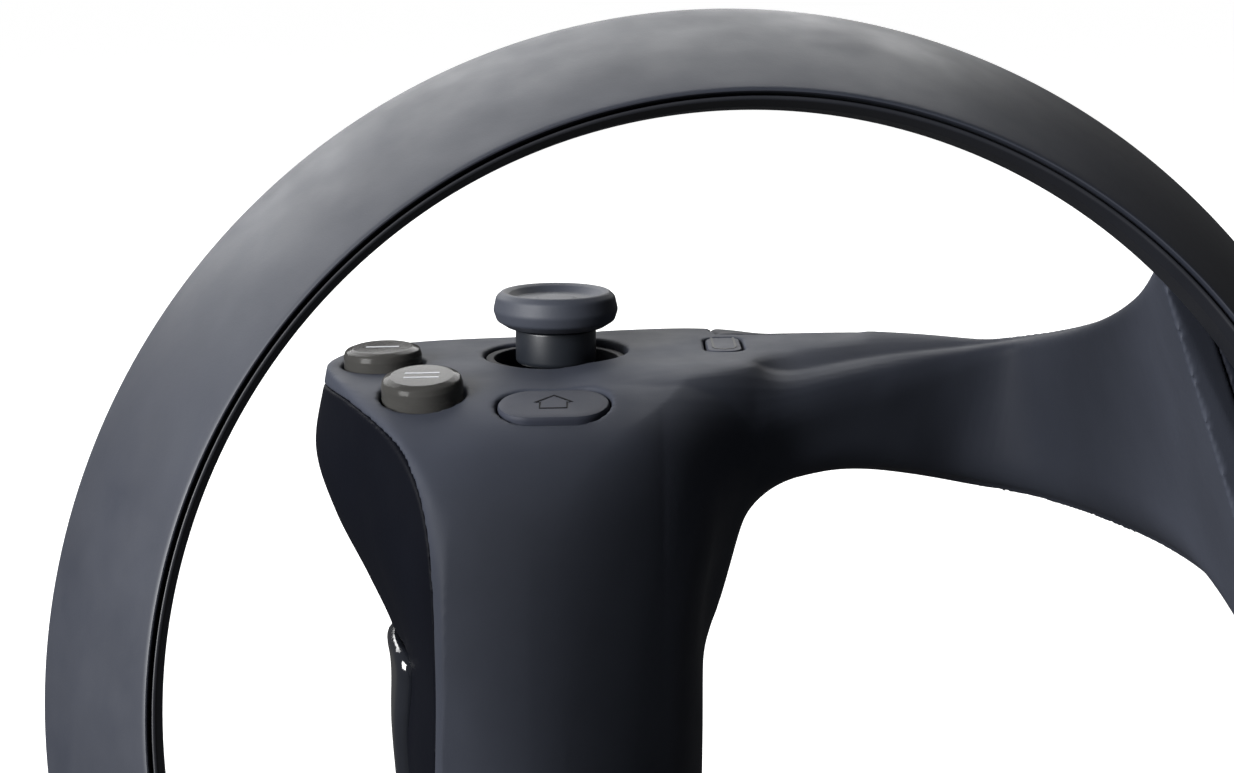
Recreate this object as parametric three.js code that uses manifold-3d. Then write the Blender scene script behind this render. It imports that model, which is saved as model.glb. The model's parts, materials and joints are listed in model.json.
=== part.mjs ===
// Right-hand VR motion controller: a head with a thumbstick and buttons, a grip below it, and a tracking
// ring held by a broad arm on the right. Millimetres, +Z up, +X to the right, +Y away from the user.
// Everything is placed from the centre of the thumbstick on the panel. The last lines move the finished
// controller so that the middle of its footprint is at the origin, where it stands.

import * as THREE from 'three';
import { mergeVertices } from 'three/addons/utils/BufferGeometryUtils.js';
import Module from 'manifold-3d';

const wasm = await Module();
wasm.setup();

// ---- Driving dimensions ----------------------------------------------------------------------------

const WALL = 1.8;              // wall of the moulded shells
const GAP = 0.3;               // clearance between neighbouring pieces

// Tracking ring: a slice of a hollow cone that opens towards the user
const RING_CENTRE = new THREE.Vector3(21.1, -75, -19.5);
const RING_AXIS = new THREE.Vector3(0.093, -0.96, 0.264).normalize();
const RING_RADIUS = 68.5;      // at its widest, on the far side
const RING_NEAR_RADIUS = 55.8; // at the rim nearest the user
const RING_DEPTH = 19;         // between those two rims, along the axis
const RING_CROWN = 0.8;        // of its wide outer face, beyond a straight cone
const RING_STEPS = 44;

// Panel and back of the grip: one surface that runs over the head and down to the heel of the hand
const PANEL_RISE = 1.2;        // degrees, rising to the right

// Thumbstick
const STICK_PIVOT = -9.5;      // height of its centre of tilt
const STICK_NECK = 5.45;       // radius
const STICK_CAP = 8.45;        // radius
const STICK_HEIGHT = 8.3;      // rim of the cap above the panel
const RECESS_RADIUS = 9.8;
const GIMBAL_HALF = 8;         // half width of the square stick housing

// Clear face buttons: where they stand on the panel and how they lean
const FACE_BUTTON_RADIUS = 5.2;
const FACE_BUTTON_RISE = 2.2;
const FACE_BUTTON_SKIRT = 3.2; // below the panel
const FACE_BUTTONS = [
  { side: 'far', x: -22.9, y: -5.1, z: -0.75, lean: 2.4 },
  { side: 'near', x: -16.3, y: -19.4, z: -2.1, lean: 8 },
];

// Home and options buttons
const HOME = { x: 0.4, y: -23, z: -2.45, lean: 12, width: 14, depth: 8.4, corner: 4.19, rise: 0.5 };
const OPTIONS = { x: 22.9, y: 1.9, z: 0.15, width: 4.8, depth: 10, corner: 1.9, rise: 0.6 };

// Trigger: an axle across the front of the head
const TRIGGER_AXLE = { y: 10.9, z: -12.5, radius: 1.3 };
const TRIGGER_HALF = 9;        // half width

// Finger button on the left of the grip
const GRIP_BUTTON = { top: -34.6, bottom: -65, near: -25, far: -5, proud: 1.4, thick: 2.7 };
const GRIP_BUTTON_PIN = new THREE.Vector3(-15.4, -13, -39);
const GRIP_BUTTON_AXIS = new THREE.Vector3(0.366, 0.931, 0).normalize();

// Trigger feedback drive
const WHEEL = { x: 4, y: 3.5, z: -22.5, radius: 3.4, teeth: 16, width: 3 };
const WORM = { y: -2.3, radius: 2.2, length: 7 };

// Battery, haptic actuator and boards
const BATTERY = { x: 1, y: -26.6, z: -57, width: 20, depth: 10, height: 34 };
const HAPTIC = { x: 2, y: -10.3, z: -61, width: 13, depth: 7.8, height: 26, wall: 1 };
const BOARD_TOP = -16.5;
const BOARD_THICKNESS = 1;

const COLOURS = {
  shell: { color: 0x2a2d36, roughness: 0.62, metalness: 0 },
  frontShell: { color: 0x1c1f27, roughness: 0.65, metalness: 0 },
  window: { color: 0x33363f, roughness: 0.5, metalness: 0 },
  gloss: { color: 0x0c0d11, roughness: 0.15, metalness: 0 },
  clear: { color: 0x8c8f92, roughness: 0.08, metalness: 0, transparent: true, opacity: 0.4 },
  plate: { color: 0x33363c, roughness: 0.5, metalness: 0 },
  frame: { color: 0x3a3d42, roughness: 0.7, metalness: 0 },
  steel: { color: 0xb4b7bb, roughness: 0.3, metalness: 1 },
  brass: { color: 0xb08d4a, roughness: 0.35, metalness: 1 },
  board: { color: 0x14492f, roughness: 0.5, metalness: 0 },
  chip: { color: 0x17181a, roughness: 0.45, metalness: 0 },
  silicone: { color: 0x8f9296, roughness: 0.8, metalness: 0 },
  flex: { color: 0xb5742a, roughness: 0.45, metalness: 0 },
  wrap: { color: 0x35506e, roughness: 0.4, metalness: 0 },
};

// ---- Tools -----------------------------------------------------------------------------------------

const controller = new THREE.Group();

/** A manifold solid from a closed geometry. */
function solid(geometry) {
  geometry.deleteAttribute('normal');
  geometry.deleteAttribute('uv');
  const merged = mergeVertices(geometry, 1e-4);
  return new wasm.Manifold(new wasm.Mesh({
    numProp: 3,
    vertProperties: new Float32Array(merged.attributes.position.array),
    triVerts: new Uint32Array(merged.index.array),
  }));
}

/** A manifold solid's surface as a geometry. */
function surface(shape) {
  const result = shape.getMesh();
  const geometry = new THREE.BufferGeometry();
  geometry.setAttribute('position', new THREE.BufferAttribute(new Float32Array(result.vertProperties), 3));
  geometry.setIndex(new THREE.BufferAttribute(new Uint32Array(result.triVerts), 1));
  return geometry;
}

/** The biggest of a solid's separate bodies, once vertices that all but touch are merged. */
function biggest(shape) {
  return solid(surface(shape)).decompose().reduce((a, b) => (a.volume() > b.volume() ? a : b));
}

/** Adds a solid to the controller as a named mesh. */
function piece(name, shape, colour) {
  const geometry = surface(shape);
  geometry.computeVertexNormals();
  const mesh = new THREE.Mesh(geometry, new THREE.MeshStandardMaterial(COLOURS[colour]));
  mesh.name = name;
  controller.add(mesh);
  return mesh;
}

/** A matrix that moves to a point and then turns by degrees about X, Y and Z. */
function placed(x, y, z, rx = 0, ry = 0, rz = 0) {
  const turn = new THREE.Euler(...[rx, ry, rz].map(THREE.MathUtils.degToRad));
  return new THREE.Matrix4().makeRotationFromEuler(turn).setPosition(x, y, z);
}

/** A matrix that lays local +Z along a direction. */
function along(origin, direction) {
  const turn = new THREE.Quaternion().setFromUnitVectors(new THREE.Vector3(0, 0, 1), direction);
  return new THREE.Matrix4().makeRotationFromQuaternion(turn).setPosition(origin);
}

const set = (shape, matrix) => shape.transform(matrix.elements);

/** A box from its middle and its sizes. */
function box(x, y, z, width, depth, height) {
  return solid(new THREE.BoxGeometry(width, depth, height).translate(x, y, z));
}

/** A cylinder with its axis along local Z, from z = low to z = high. */
function rod(radius, low, high, steps = 24) {
  const geometry = new THREE.CylinderGeometry(radius, radius, high - low, steps);
  return solid(geometry.rotateX(Math.PI / 2).translate(0, 0, (low + high) / 2));
}

/** A turned solid round Z: [radius, height] points from the axis and back, or round a closed section. */
function turned(points, steps = 32) {
  const profile = points.map(([radius, height]) => new THREE.Vector2(radius, height));
  if (THREE.ShapeUtils.area(profile) < 0) profile.reverse();
  if (profile[0].x > 0) profile.push(profile[0]);
  return solid(new THREE.LatheGeometry(profile, steps).rotateX(Math.PI / 2));
}

/** A flat outline in XY, raised from z = low to z = high. */
function raised(points, low, high) {
  const shape = new THREE.Shape(points.map(([x, y]) => new THREE.Vector2(x, y)));
  const options = { depth: high - low, bevelEnabled: false, curveSegments: 8 };
  return solid(new THREE.ExtrudeGeometry(shape, options).translate(0, 0, low));
}

/** A rounded rectangle's outline. */
function roundedRectangle(width, depth, corner, steps = 5) {
  const points = [];
  const corners = [[1, 1, 0], [-1, 1, 90], [-1, -1, 180], [1, -1, 270]];
  for (const [sx, sy, start] of corners) {
    for (let i = 0; i <= steps; i++) {
      const angle = THREE.MathUtils.degToRad(start + (90 * i) / steps);
      const x = sx * (width / 2 - corner) + corner * Math.cos(angle);
      const y = sy * (depth / 2 - corner) + corner * Math.sin(angle);
      points.push([x, y]);
    }
  }
  return points;
}

/** An outline in YZ, carried along X from low to high. */
function carried(points, low, high) {
  const flat = raised(points, low, high);
  return set(flat, new THREE.Matrix4().set(0, 0, 1, 0, 1, 0, 0, 0, 0, 1, 0, 0, 0, 0, 0, 1));
}

/** A closed solid through rings of points, each with the same number, split along the shorter diagonals. */
function loft(rings) {
  const count = rings[0].length;
  const vertices = rings.flat();
  const faces = [];
  for (let level = 0; level < rings.length - 1; level++) {
    for (let i = 0; i < count; i++) {
      const j = (i + 1) % count;
      const a = level * count + i;
      const b = level * count + j;
      const forward = vertices[a].distanceTo(vertices[b + count]);
      const backward = vertices[b].distanceTo(vertices[a + count]);
      if (forward < backward) faces.push(a, b, b + count, a, b + count, a + count);
      else faces.push(a, b, a + count, b, b + count, a + count);
    }
  }
  for (const [level, flip] of [[0, true], [rings.length - 1, false]]) {
    const middle = new THREE.Vector3();
    rings[level].forEach((point) => middle.add(point));
    vertices.push(middle.divideScalar(count));
    for (let i = 0; i < count; i++) {
      const a = level * count + i;
      const b = level * count + ((i + 1) % count);
      faces.push(...(flip ? [b, a] : [a, b]), vertices.length - 1);
    }
  }
  const geometry = new THREE.BufferGeometry().setFromPoints(vertices);
  geometry.setIndex(faces);
  const shape = solid(geometry);
  if (shape.volume() > 0) return shape;
  geometry.setIndex(faces.map((_, i) => faces[i - (i % 3) + 2 - (i % 3)]));
  return solid(geometry);
}

// ---- Outer form of the head and the grip ------------------------------------------------------------

// Sections of the column, as [x, y] points seen from above. The corner is the sharp edge on the left of
// the back; the rest runs round the back, the right, the front and the left and returns to it.
const COLUMN = [
  {
    z: 6,
    corner: [-12.5, -38],
    round: [[3, -42], [18, -34], [24, -12], [20, 14], [0, 17.6], [-20, 13], [-28.8, -2], [-24.8, -18.5]],
  },
  {
    z: -3,
    corner: [-12.5, -38.5],
    round: [[3, -42], [18, -34], [24, -12], [20, 14], [0, 17.6], [-21.5, 12], [-30.8, -3], [-24.9, -19.6]],
  },
  {
    z: -12,
    corner: [-12.6, -39],
    round: [[3, -42.5], [17.5, -34.5], [23.5, -13], [20, 11], [0, 16.5], [-21.5, 10.5],
      [-32.2, -4], [-24.2, -21.5]],
  },
  {
    z: -20,
    corner: [-12.4, -40.5],
    round: [[3, -43.5], [16.5, -36], [21.5, -17], [17.5, 5.5], [0, 13], [-19.5, 8], [-29.6, -5],
      [-22.6, -23.5]],
  },
  {
    z: -28,
    corner: [-12.4, -41.5],
    round: [[3, -44.3], [15.5, -37], [19.7, -20], [15, -1], [0, 8], [-15, 3.2], [-24.9, -7], [-19.8, -25]],
  },
  {
    z: -36,
    corner: [-12.5, -42],
    round: [[3, -44.6], [15.3, -37.5], [19.3, -21], [13.5, -5.5], [0, 2], [-12.5, -1.5],
      [-20.4, -12], [-17.2, -28]],
  },
  {
    z: -46,
    corner: [-12.7, -42],
    round: [[3, -44.5], [15.2, -37.5], [19.3, -21], [13, -6.5], [1, -1], [-11.5, -4],
      [-19.7, -15.5], [-17.1, -30.5]],
  },
  {
    z: -66,
    corner: [-13, -41],
    round: [[3, -43], [15, -36.5], [19, -21], [13, -6.5], [1, -1.5], [-11.5, -5], [-18, -17.5],
      [-16.6, -31]],
  },
  {
    z: -82,
    corner: [-12.8, -38.6],
    round: [[3, -40.2], [14.3, -34.4], [17.9, -20.6], [12.3, -7.8], [1, -3.6], [-10.8, -6.8],
      [-17.9, -18], [-16.2, -30]],
  },
  {
    z: -88,
    corner: [-11.5, -36.6],
    round: [[3, -38], [13, -32.6], [16.3, -20.4], [11, -9], [1, -5.4], [-9.6, -8.2], [-16, -18],
      [-14.5, -29]],
  },
];
const COLUMN_POINTS = 23;

/** The column, with its sides moved out by grow. */
function columnLoft(grow) {
  const rings = COLUMN.map(({ z, corner, round }) => {
    const through = [corner, ...round, corner].map(([x, y]) => new THREE.Vector3(x, y, z));
    const curve = new THREE.CatmullRomCurve3(through, false, 'centripetal');
    const ring = curve.getSpacedPoints(COLUMN_POINTS).slice(0, -1);
    return ring.map((point, i) => {
      const before = ring[(i + COLUMN_POINTS - 1) % COLUMN_POINTS];
      const after = ring[(i + 1) % COLUMN_POINTS];
      const side = after.clone().sub(before).cross(new THREE.Vector3(0, 0, 1)).normalize();
      return point.clone().addScaledVector(side, grow);
    });
  });
  return loft(rings);
}

// Side view of the panel, the shoulder and the back, as [y, z] points from the front edge backwards
const RIBBON = [
  [24, -2], [17, -1], [9, -0.3], [0, 0], [-10, -0.44], [-20, -1.75], [-28, -4.2], [-34, -8.6],
  [-38.2, -14.5], [-41, -21], [-43.4, -29], [-45.6, -40], [-46.5, -60],
];

// Side view of the joint between the two shells at the left edge of the back: a wall's thickness under the
// panel, further in at the grip. To the right it moves forward, round to the side of the grip.
const SEAM_LEFT = -12.5;       // where the side view holds
const SEAM_SKEW = 0.75;        // forward, for each millimetre to the right
const SEAM = [
  [24, -4.4], [17, -3.1], [9, -2.15], [0, -1.8], [-10, -2.24], [-19.6, -3.5], [-27, -5.8], [-32.6, -9.8],
  [-36.4, -15.3], [-38.2, -21], [-39, -29], [-39, -40], [-39, -60], [-36, -90],
];

const SIDE_STEPS = 18;

/** Everything under and in front of a side view, moved inwards by depth. */
function under(sideView, depth) {
  const curve = new THREE.SplineCurve(sideView.map(([y, z]) => new THREE.Vector2(y, z)));
  const outline = [];
  for (let i = 0; i <= SIDE_STEPS; i++) {
    const point = curve.getPoint(i / SIDE_STEPS);
    const tangent = curve.getTangent(i / SIDE_STEPS);
    outline.push([point.x - tangent.y * depth, point.y + tangent.x * depth]);
  }
  outline.push([sideView.at(-1)[0] + depth, -95], [30, -95], [30, -3 - depth]);
  return set(carried(outline.reverse(), -60, 60), placed(0, 0, 0, 0, -PANEL_RISE, 0));
}

/** Everything in front of the joint between the shells, moved inwards by depth. */
function frontOfSeam(depth) {
  const skew = new THREE.Matrix4().makeShear(SEAM_SKEW, 0, 0, 0, 0, 0);
  skew.setPosition(0, -SEAM_SKEW * SEAM_LEFT, 0);
  return set(under(SEAM, depth), skew);
}

const columnForm = (grow) => columnLoft(grow).intersect(under(RIBBON, -Math.min(grow, 0)));

// ---- Outer form of the arm --------------------------------------------------------------------------

// Edges of the arm's blade, each from inside the head to inside the ring
const ARM = {
  topInner: [[20, -19, -3.4], [31, -16, -2], [44.5, -8.5, -0.3], [54, -4.5, 0.7], [61.5, -5, 2.5],
    [65, -14, 5.3], [66.3, -27, 9.2], [65.5, -44, 14.5], [61, -70, 22.5]],
  bottomInner: [[18.5, -19, -31], [24, -16.5, -18], [36, -13, -13.8], [46, -9, -14.4], [55, -5.2, -16.4],
    [63, -7, -17.4], [70, -20, -17], [74, -42, -16.2], [77.5, -74, -26]],
  topOuter: [[20, 14.5, -0.9], [31, 15, -0.2], [44, 12.8, 0], [55, 8.2, 0.6], [64, 1, 1.4], [71, -10, 4.2],
    [74, -26, 9], [73, -43, 16], [66, -66, 26]],
  bottomOuter: [[16, 3, -29], [24, 8, -19.5], [36, 9.5, -17.2], [46, 8, -17.8], [57, 4, -19.4],
    [67, -3, -20.4], [76, -18, -21], [82.5, -42, -22.2], [87, -74, -30]],
};
const ARM_EDGES = Object.keys(ARM);
const ARM_STEPS = 15;
const ARM_BULGE = 1.6;         // of the arm's outer face, beyond a straight line between its edges
const ARM_CROWN = 0.5;         // of its top and bottom edges

const armRail = Object.fromEntries(Object.entries(ARM).map(([edge, points]) => {
  const curve = new THREE.CatmullRomCurve3(points.map((point) => new THREE.Vector3(...point)));
  return [edge, curve.getSpacedPoints(ARM_STEPS)];
}));

/** One section of the arm's blade, with its faces moved out by grow. */
function armSection(step, grow) {
  const [ti, bi, to, bo] = ARM_EDGES.map((edge) => armRail[edge][step]);
  const across = to.clone().sub(ti).add(bo).sub(bi).normalize();
  const up = ti.clone().sub(bi).add(to).sub(bo).normalize();
  const at = (a, b, share, outwards, upwards) => a.clone().lerp(b, share)
    .addScaledVector(across, outwards).addScaledVector(up, upwards);
  const soft = 0.12;           // share of the height where the edges start to round
  return [
    at(ti, bi, soft, -grow, 0),
    at(ti, bi, 0.5, -grow, 0),
    at(bi, ti, soft, -grow, 0),
    at(bi, bo, soft, 0, -grow - ARM_CROWN / 2),
    at(bi, bo, 0.5, 0, -grow - ARM_CROWN),
    at(bo, bi, soft, 0, -grow - ARM_CROWN / 2),
    at(bo, to, soft, grow, 0),
    at(bo, to, 0.5, grow + ARM_BULGE, 0),
    at(to, bo, soft, grow, 0),
    at(to, ti, soft, 0, grow + ARM_CROWN / 2),
    at(to, ti, 0.5, 0, grow + ARM_CROWN),
    at(ti, to, soft, 0, grow + ARM_CROWN / 2),
  ];
}

/** The whole arm, with its faces moved out by grow; a grown one also starts a little earlier. */
function armForm(grow) {
  const rings = [...Array(ARM_STEPS + 1).keys()].map((step) => armSection(step, grow));
  if (grow > 0) rings.unshift(rings[0].map((point) => point.clone().add(new THREE.Vector3(-2 * grow, 0, 0))));
  return loft(rings);
}

/** A thin curved slab where the arm's two halves part: near the front at the head, central at the ring. */
function armParting() {
  const rings = [];
  for (let step = -1; step <= ARM_STEPS + 1; step++) {
    const at = Math.min(Math.max(step, 0), ARM_STEPS);
    const [ti, bi, to, bo] = ARM_EDGES.map((edge) => armRail[edge][at]);
    const share = THREE.MathUtils.lerp(0.86, 0.5, Math.min(1, at / (ARM_STEPS * 0.4)));
    const top = ti.clone().lerp(to, share);
    const bottom = bi.clone().lerp(bo, share);
    if (step < 0) [top, bottom].forEach((point) => point.add(new THREE.Vector3(-6, 0, 0)));
    if (step > ARM_STEPS) [top, bottom].forEach((point) => point.add(new THREE.Vector3(0, -6, 0)));
    const reach = top.clone().sub(bottom).multiplyScalar(0.3);
    const half = to.clone().sub(ti).normalize().multiplyScalar(GAP / 2);
    const low = bottom.clone().sub(reach);
    const high = top.clone().add(reach);
    const heights = [0, 0.25, 0.5, 0.75, 1].map((share) => low.clone().lerp(high, share));
    const front = heights.map((point) => point.clone().add(half));
    const back = heights.map((point) => point.clone().sub(half)).reverse();
    rings.push([...front, ...back]);
  }
  return loft(rings);
}

// ---- Tracking ring ----------------------------------------------------------------------------------

const ringPlace = along(RING_CENTRE, RING_AXIS);
const ringLean = new THREE.Vector2(RING_DEPTH, RING_RADIUS - RING_NEAR_RADIUS).normalize();

/** A point of the ring's wide face at height s along its axis, moved in by depth. */
function ringFace(s, depth = 0) {
  const straight = THREE.MathUtils.lerp(RING_RADIUS, RING_NEAR_RADIUS, s / RING_DEPTH);
  const radius = straight + RING_CROWN * Math.sin((Math.PI * s) / RING_DEPTH);
  return [radius - depth * ringLean.x, s - depth * ringLean.y];
}

/** A closed [radius, height] section swept round the ring's axis. */
const ringSolid = (section) => set(turned(section, RING_STEPS), ringPlace);

const shares = [0, 0.5, 1];

/** The ring's wall on the inside, from the near rim to the far edge, moved out by grow. */
const ringWall = (grow) => [[55.1, 18.3], [54.8, 16.6], [55.4, 12], [59.3, 4], [63.6, -2.5]]
  .map(([radius, height]) => [radius - grow, height - (height < 0 ? grow : 0)]);

/** The whole ring, moved out by grow. */
function ringForm(grow) {
  const face = shares.map((t) => ringFace(t * RING_DEPTH, -grow)).reverse();
  return ringSolid([...ringWall(grow).reverse(), [55.3 - grow / 2, RING_DEPTH - 0.1 + grow], ...face,
    [RING_RADIUS - 0.8 + grow, -2.5 - grow]]);
}

const COVER = 1.5;             // thickness of the ring's cover
const ringCover = ringSolid([
  ...shares.map((t) => ringFace(0.2 + t * (RING_DEPTH - 0.2))),
  ...shares.map((t) => ringFace(0.6 + t * (RING_DEPTH - 2.2), COVER)).reverse(),
]);
const ringInnerShell = ringSolid([
  ...ringWall(0), [RING_RADIUS - 0.8, -2.5], [RING_RADIUS - 0.1, -0.4], ringFace(0.2, COVER + GAP),
  [65, -0.9], [60.9, 4.7], [57.1, 12.4], [56, 15.7], [55.5, 16.3], [55.5, 18.4],
]);

// Flexible light strip under the cover, with an emitter every few degrees
const EMITTERS = 16;
const stripBand = ringSolid([ringFace(5, 2.6), ringFace(11, 2.6), ringFace(11, 2.9), ringFace(5, 2.9)]);
const emitters = [...Array(EMITTERS).keys()].map((i) => {
  const [radius, height] = ringFace(8, 2.45);
  const lean = THREE.MathUtils.radToDeg(Math.atan2(ringLean.y, ringLean.x));
  const chip = set(box(0, 0, 0, 1.1, 2.2, 2.2), placed(radius, 0, height, 0, -lean, 0));
  return set(set(chip, placed(0, 0, 0, 0, 0, (360 * (i + 0.5)) / EMITTERS)), ringPlace);
});

piece('ring_cover', ringCover, 'window');
const cableHole = box(77, -73, -2, 6, 2, 4);
piece('ring_inner_shell', ringInnerShell.subtract(cableHole), 'frontShell');
piece('ring_light_strip', emitters.reduce((strip, chip) => strip.add(chip), stripBand), 'flex');

// ---- Shells -----------------------------------------------------------------------------------------

const floor = ringForm(0).boundingBox().min[2];
const CAP_TOP = floor + 5.6;   // joint between the grip and its end cap
const ringRoom = ringForm(GAP);
const columnOuter = columnForm(0);
const columnInner = columnForm(-WALL);
const armInner = armForm(-WALL);
const hollow = columnInner.add(armInner);
const [armUserHalf, armFarHalf] = armForm(0).subtract(armParting()).decompose()
  .sort((a, b) => b.volume() - a.volume()).slice(0, 2)
  .sort((a, b) => a.boundingBox().max[0] - b.boundingBox().max[0]);
const belowCap = box(0, -20, CAP_TOP - 25, 80, 80, 50);

/** The place of a button on the panel, with local +Z out of it. */
const onPanel = ({ x, y, z, lean }) => placed(x, y, z, lean ?? 0, -PANEL_RISE, 0);

/** A button's outline, moved out by grow. */
const buttonOutline = ({ width, depth, corner }, grow) =>
  roundedRectangle(width + 2 * grow, depth + 2 * grow, corner + grow);
const buttonHoles = [
  rod(RECESS_RADIUS, -8, 8, 36),
  ...FACE_BUTTONS.map((button) => set(rod(FACE_BUTTON_RADIUS + GAP, -8, 8, 28), onPanel(button))),
  set(raised(buttonOutline(HOME, GAP), -6, 6), onPanel(HOME)),
  set(raised(buttonOutline(OPTIONS, GAP), -6, 6), onPanel(OPTIONS)),
];

const skin = columnOuter.subtract(frontOfSeam(-GAP / 2));
const rearRooms = [hollow, ringRoom, belowCap, ...buttonHoles];
const rear = rearRooms.reduce((a, b) => a.subtract(b), skin.add(armUserHalf));

const triggerRoom = carried([[1, -9], [30, -5.7], [30, -42], [2.6, -36.5], [1, -30]], -TRIGGER_HALF - 0.6,
  TRIGGER_HALF + 0.6);
/** One cheek of the trigger's frame, grown by a clearance. */
const triggerCheek = (low, high, grow) => carried([[8 - grow, -18 - grow], [9.4 + grow, -18 - grow],
  [9.6 + grow, -15.6 - grow], [13.1 + grow, -13.6 - grow], [13.1 + grow, -9 + grow], [8 - grow, -9 + grow]],
  low - grow, high + grow);
const cheekRooms = [-10.5, 9.5].map((x) => triggerCheek(x, x + 1, GAP));

// The right-hand side gets twice the room, because the button swings that way.
const buttonWindow = (grow) => box(-20.8 + grow, (GRIP_BUTTON.near + GRIP_BUTTON.far) / 2,
  (GRIP_BUTTON.top + GRIP_BUTTON.bottom) / 2, 20.4 + 2 * grow, GRIP_BUTTON.far - GRIP_BUTTON.near + 2 * grow,
  GRIP_BUTTON.top - GRIP_BUTTON.bottom + 2 * grow);
const USB = { x: 13.2, y: 15.6, z: -5.4, width: 9, height: 3.2, length: 7.4 };
const usbRoom = box(USB.x, USB.y, USB.z, USB.width + 2 * GAP, 12, USB.height + 2 * GAP);

const SCREWS = [{ name: 'upper', x: -7, y: -2.2, z: -43.4 }, { name: 'lower', x: 1, y: -3.4, z: -77 }];
const screwBosses = SCREWS.map(({ x, y, z }) => set(rod(3, -4.4, -1, 20), placed(x, y, z, -90, 0, 0)));
const screwHole = rod(2.4, -1.8, 4, 20).add(rod(1.4, -12, 0, 16));
const screwHoles = SCREWS.map(({ x, y, z }) => set(screwHole, placed(x, y, z, -90, 0, 0)));

const frontWall = columnOuter.intersect(frontOfSeam(GAP / 2)).subtract(columnInner);
const skirtRoom = rod(FACE_BUTTON_RADIUS + 1.2, -6.5, 0, 28);
const skirtRooms = FACE_BUTTONS.map((button) => set(skirtRoom, onPanel(button)));
const frontRooms = [armForm(GAP), ringRoom, belowCap, ...buttonHoles, ...skirtRooms, ...cheekRooms,
  triggerRoom, buttonWindow(0.9), usbRoom, ...screwHoles];
const frontSolid = screwBosses.reduce((a, b) => a.add(b), frontWall);
const front = frontRooms.reduce((a, b) => a.subtract(b), frontSolid);
const skinRoom = columnLoft(GAP).subtract(frontOfSeam(GAP / 2));
const cover = [skinRoom, hollow, ringRoom, belowCap].reduce((a, b) => a.subtract(b), armFarHalf);

piece('rear_shell', biggest(rear), 'shell');
piece('front_shell', biggest(front), 'frontShell');
piece('arm_outer_cover', biggest(cover), 'frontShell');

// End cap: the flat heel that the grip stands on, with a slot for a wrist strap round a pin
const STRAP = { x: 2, y: -12, width: 9, length: 7, height: 3.4 };
const capHeight = CAP_TOP - GAP - floor;
const capBlock = columnOuter.intersect(box(0, -20, floor + capHeight / 2, 80, 80, capHeight));
const strapSlot = box(STRAP.x, STRAP.y, floor, STRAP.width, STRAP.length, 2 * STRAP.height);
const strapPlace = placed(STRAP.x, STRAP.y, floor + 1.9, 0, 90, 0);
const strapHole = set(rod(1.2, -6.5, 6.5, 16), strapPlace);
const capHollow = columnForm(-2.2).intersect(box(0, -20, CAP_TOP, 80, 80, 2));
const endCap = [strapSlot, strapHole, capHollow].reduce((a, b) => a.subtract(b), capBlock);
piece('grip_end_cap', endCap, 'frontShell');
piece('strap_pin', rod(0.9, -6.2, 6.2, 16), 'steel').applyMatrix4(strapPlace);

// ---- Panel controls ---------------------------------------------------------------------------------

piece('stick_surround', turned([[8.4, -0.9], [9.5, -0.9], [9.5, -4.1], [8, -4.1]]), 'frontShell');
const stickCap = turned([[0, 7.5], [2.6, 7.5], [3, 7.2], [5.6, 7.2], [6.4, 8], [7.2, STICK_HEIGHT],
  [8, 7.4], [STICK_CAP, 5.6], [8, 4.3], [6.5, 3.4], [3.4, 3.4], [3.4, 5], [0, 5]], 30);
piece('stick_cap', stickCap, 'shell');
const shaftSolid = turned([[0, 4.7], [3.1, 4.7], [3.1, 3.1], [STICK_NECK, 3.1], [STICK_NECK, -1.5],
  [2.2, -2.4], [1.6, -3.2], [1.6, -11.9], [0, -11.9]], 32);
const PIN_RADIUS = 0.6;
const pinSlot = box(0, 0, STICK_PIVOT + 0.2, 2 * PIN_RADIUS + 0.6, 6, 2 * PIN_RADIUS + 1);
piece('stick_shaft', shaftSolid.subtract(pinSlot), 'frontShell');
piece('stick_pin', rod(PIN_RADIUS, -3.2, 3.2, 12), 'steel').applyMatrix4(placed(0, 0, STICK_PIVOT, 90, 0, 0));

for (const button of FACE_BUTTONS) {
  const radius = FACE_BUTTON_RADIUS;
  const top = FACE_BUTTON_RISE;
  const cap = turned([[0, top], [radius - 0.6, top], [radius, top - 0.6], [radius, -2.6],
    [radius + 0.5, -2.6], [radius + 0.5, -FACE_BUTTON_SKIRT], [0, -FACE_BUTTON_SKIRT]]);
  piece(`button_${button.side}`, cap, 'clear').applyMatrix4(onPanel(button));
  const plate = rod(4.7, -FACE_BUTTON_SKIRT - 0.9, -FACE_BUTTON_SKIRT - 0.2, 24);
  piece(`button_${button.side}_plate`, plate, 'plate').applyMatrix4(onPanel(button));
}

// Home button: a dark oval with a small house cut into it, on a stem that reaches the main board
const HOUSE = [[-1.6, -1.6], [1.6, -1.6], [1.6, 0.3], [2.3, 0.3], [0, 2.4], [-2.3, 0.3], [-1.6, 0.3]];
const house = raised(HOUSE, HOME.rise - 0.25, 2);
const homeFlange = raised(buttonOutline(HOME, 0.5), -3.9, -3);
const homeTop = raised(buttonOutline(HOME, 0), -3.2, HOME.rise).add(homeFlange).subtract(house);
piece('home_button', homeTop.add(rod(1.4, -11.7, -3.5, 16)), 'gloss').applyMatrix4(onPanel(HOME));
const optionsFlange = raised(buttonOutline(OPTIONS, 0.5), -4.6, -3.8);
const optionsTop = raised(buttonOutline(OPTIONS, 0), -4, OPTIONS.rise).add(optionsFlange);
piece('options_button', optionsTop.add(rod(1.1, -6.2, -4, 16)), 'frontShell').applyMatrix4(onPanel(OPTIONS));

// ---- Stick gimbal -----------------------------------------------------------------------------------

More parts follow.
